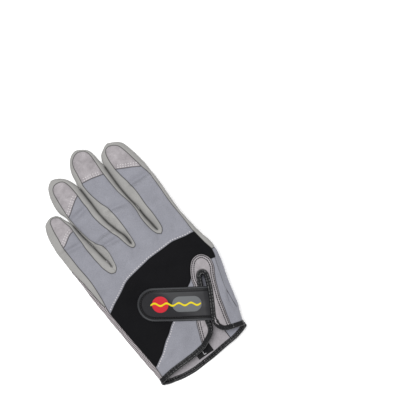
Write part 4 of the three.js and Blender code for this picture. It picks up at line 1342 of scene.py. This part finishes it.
badge("red_sun", 5.4, 5.5, 7.4, 0.3, "#c92f3b")
badge("grey_bank", 23.0, 35.5, 7.0, 0.3, "#6a6c6e")
badge("yellow_wave", -2.5, 41.0, 0.95, 0.75, "#e6d11f", wave=1.15, wave_length=10.9)


# Stitches are short lengths of thread, each a long bead that dips into the cloth at its ends.
# One bead is modelled and copied along every row, and the rows of a like thread are one mesh.
AIM = 0.8  # the row's way at a stitch is taken this far before and after it
DIP = 0.35  # of a stitch's width, that its ends lie lower than its middle
choose()
bpy.ops.mesh.primitive_uv_sphere_add(segments=6, ring_count=5, radius=1)
bead = bpy.context.object
bead_points = points_of(bead.data)[:, [2, 0, 1]]
bead_faces = [tuple(face.vertices) for face in bead.data.polygons]
bpy.data.objects.remove(bead)


def stitches(name, rows, pitch, length, width, material, sink=0.25):
    """Beads along rows of places and normals; a bead's middle stands proud by its width."""
    points, faces = [], []
    for row in rows:
        places = np.array([place for place, _ in row])
        if len(places) < 3:
            continue
        ups = np.array([normal for _, normal in row])
        steps = np.linalg.norm(np.diff(places, axis=0), axis=1)
        run = np.concatenate([[0], np.cumsum(steps)])
        for middle in np.arange(pitch * 0.5 * MM, run[-1], pitch * MM):
            at, up = between(run, places, middle), between(run, ups, middle)
            way = between(run, places, middle + AIM * MM) - between(run, places, middle - AIM * MM)
            if np.linalg.norm(way) < 0.5 * MM or np.linalg.norm(way) > 3 * MM:
                continue
            way /= np.linalg.norm(way)
            up -= way * (up @ way)
            up /= np.linalg.norm(up)
            aside = np.cross(up, way)
            bent = bead_points * np.array([length / 2, width / 2, width / 2]) * MM
            bent[:, 2] -= sink * width * MM + DIP * width * MM * (bead_points[:, 0] ** 2)
            start = len(points) * len(bead_points)
            points.append(at + bent[:, :1] * way + bent[:, 1:2] * aside + bent[:, 2:3] * up)
            faces.extend(tuple(start + i for i in face) for face in bead_faces)
    thread = bpy.data.meshes.new(name)
    thread.from_pydata(above_table(np.vstack(points)), [], faces)
    piece = bpy.data.objects.new(name, thread)
    bpy.context.collection.objects.link(piece)
    dress(piece, material)
    choose(piece)
    face_outward()
    bpy.ops.object.shade_smooth()
    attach(piece, "root")
    return piece


def thread_material(name, dark, light):
    """Spun polyester thread: two tones twisted round each other."""
    material, shader, place = new_material(name)
    twist = noise(material, place, 0.4, 2.0)
    finish_shader(material, shader, tones(material, twist, dark, light), 0.65, sheen=0.2)
    return material


def beside_line(line, gap):
    """The line moved sideways, to its left going along it where the gap is positive."""
    p = np.array(line, float)
    way = np.gradient(p, axis=0)
    way /= np.linalg.norm(way, axis=1)[:, None]
    return [tuple(point) for point in p + np.stack([-way[:, 1], way[:, 0]], 1) * gap]


pale_thread = thread_material("pale polyester thread", "#bdb8ba", "#dcd8d9")
dark_thread = thread_material("black polyester thread", "#0e0e10", "#27272a")
rows = []
for finger in FINGERS:
    for gap in (1.3, 3.3):
        rows.append(laid(beside_line(TIP_BACK[finger][2][1:-1], gap), cloth_skin))
        rows.append(laid(beside_line(flowing(TIP_PALM[finger][2]), gap), cloth_skin, palm=True))
rows.append(laid(beside_line(KNUCKLE_LINE[2:-2], 1.5), cloth_skin))
rows.append(laid(beside_line(BLACK_FOOT[6:-1], 1.6), cloth_skin))
stitches("pale_stitches", rows, 2.4, 1.75, 1.15, pale_thread, sink=0.1)

rows = [laid(beside_line(PLACKET_LEFT, gap), cloth_skin) for gap in (-1.3, -3.2)]
rows += [laid(beside_line(THUMB_SEAM[:-6], gap), cloth_skin, palm=True) for gap in (-1.3, -3.2)]
rows.append(laid(beside_line(HEEL_PATCH, -1.4), cloth_skin, palm=True))
u, v = round_the_tab(TAB_HALF - 2 * WELT - 0.75, top_end - 2, foot_end - 2)
channel = on_tab(u, v, np.full(len(u), TAB_THICK - 0.1))
inner_seam = laid([(23.0, -88.5), (23.3, -93), (23.6, -99)], whole_skin, palm=True)
rows.append([(place - normal * (WALL + 0.3) * MM, -normal) for place, normal in inner_seam])
stitches("black_stitches", rows, 1.9, 2.25, 1.0, dark_thread, sink=0.0)

# the tape and the tab are sewn with a charcoal thread, lighter in its twists than their channels
tape_thread = thread_material("charcoal polyester thread", "#0c0c0e", "#2a2a2e")
rows = tape_rows + [[(place, np.array([0.0, 0.0, 1.0])) for place in channel]]
stitches("charcoal_stitches", rows, 2.2, 1.6, 0.9, tape_thread, sink=0.15)

# every seam between two panels is closed by a finer thread, buried in its groove
middles = (co[ends[at_seam, 0]] + co[ends[at_seam, 1]]) / 2
near_middles = tree_of(middles)
SEAM_PITCH = 1.24
taken = np.zeros(len(middles), bool)
rows = []
for i, middle in enumerate(middles):
    if taken[i]:
        continue
    for _, k, _ in near_middles.find_range(middle, 1.25 * MM):
        taken[k] = True
    around = np.array([middles[k] for _, k, _ in near_middles.find_range(middle, 1.6 * MM)])
    if len(around) < 3:
        continue
    way = np.linalg.svd(around - around.mean(0))[2][0]
    normal = whole_skin.find_nearest(middle)[1]
    rows.append([(middle + way * k * SEAM_PITCH * MM, np.array(normal)) for k in (-0.5, 0, 0.5)])
stitches("seam_stitches", rows, SEAM_PITCH, 1.0, 0.34, dark_thread)


# The size label: a short black satin tape, sewn into the palm's lining at the cuff,
# with a plain woven letter.
LABEL_LEFT, LABEL_RIGHT = -11.0, 4.7
LABEL_FOOT, LABEL_TOP = -99.6, -91.5
LABEL_THICK = 0.5
LABEL_GAP = 0.5  # between it and the lining
LETTER_PLACE = (-5.0, -98.4)
LETTER_THICK = 0.2
satin, shader, place = new_material("woven satin label")
picks = waves(satin, place, 0.35, "Y", 0.5)
finish_shader(satin, shader, tones(satin, picks, "#0b0b0d", "#1d1d20"), 0.45, picks, 0.3, 0.1)


def on_lining(x, y, height):
    """Places over the palm's lining, seen through the open wrist."""
    out = []
    for px, py, rise in zip(x, y, height):
        px, py = (px - ORIGIN[0]) * MM, (py - ORIGIN[1]) * MM
        place, _, _, _ = whole_skin.ray_cast((px, py, -0.1), (0, 0, 1))
        out.append((px, py, place[2] + (WALL + rise) * MM))
    return np.array(out)


label_tape = grid("size_label", 32, 16)
flat = points_of(label_tape.data)
x = (LABEL_LEFT + LABEL_RIGHT) / 2 + flat[:, 0] * (LABEL_RIGHT - LABEL_LEFT) / 2
y = (LABEL_FOOT + LABEL_TOP) / 2 + flat[:, 1] * (LABEL_TOP - LABEL_FOOT) / 2
wave = 0.25 * np.sin(x * 0.5) * (1 - flat[:, 1]) / 2
put_points(label_tape.data, on_lining(x, y, LABEL_THICK + LABEL_GAP + wave))
dress(label_tape, satin)
add_modifier(label_tape, "SOLIDIFY", thickness=LABEL_THICK * MM, offset=-1)
add_modifier(label_tape, "BEVEL", width=0.15 * MM, segments=2, limit_method="ANGLE")
bpy.ops.object.shade_smooth_by_angle(angle=math.radians(40))
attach(label_tape, "root")
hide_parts("size_label")
choose()
bpy.ops.object.text_add()
letter = bpy.context.object
letter.name = "size_letter"
letter.data.body = "L"
letter.data.size = 5.0
letter.data.offset = 0.12
bpy.ops.object.convert(target="MESH")
letter = bpy.context.object
flat = points_of(letter.data)
letter_top = np.full(len(flat), LABEL_THICK + LABEL_GAP + 0.12)
put_points(letter.data, on_lining(flat[:, 0] + LETTER_PLACE[0], flat[:, 1] + LETTER_PLACE[1], letter_top))
add_modifier(letter, "SOLIDIFY", thickness=LETTER_THICK * MM, offset=-1)
white_pick, shader, place = new_material("white weft of the label")
weft = noise(white_pick, place, 0.4, 2.0)
finish_shader(white_pick, shader, tones(white_pick, weft, "#a9a9ac", "#d2d2d4"), 0.7)
dress(letter, white_pick)
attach(letter, "root")


# A plain pale floor lit a little from below, as on a light table, so that shadows hardly show,
# and a soft sky with one broad lamp overhead.
LAMP_PLACE = Vector((-0.07, 0.16, 1.15))
choose()
bpy.ops.mesh.primitive_plane_add(size=4, location=(0, 0, 0))
floor = bpy.context.object
floor.name = "floor"
paper, shader, place = new_material("white paper")
shader.inputs["Base Color"].default_value = linear("#fafafa")
shader.inputs["Roughness"].default_value = 1.0
shader.inputs["Emission Color"].default_value = (1, 1, 1, 1)
shader.inputs["Emission Strength"].default_value = 0.32
floor.data.materials.append(paper)
world = bpy.context.scene.world or bpy.data.worlds.new("studio")
bpy.context.scene.world = world
world.use_nodes = True
world.node_tree.nodes["Background"].inputs["Color"].default_value = (1, 1, 1, 1)
world.node_tree.nodes["Background"].inputs["Strength"].default_value = 0.42
bpy.ops.object.light_add(type="AREA", location=LAMP_PLACE)
lamp = bpy.context.object
lamp.data.shape = "DISK"
lamp.data.size = 0.7
lamp.data.energy = 11.8
lamp.rotation_euler = (-LAMP_PLACE).to_track_quat("-Z", "Y").to_euler()
bpy.context.scene.view_settings.view_transform = "Standard"
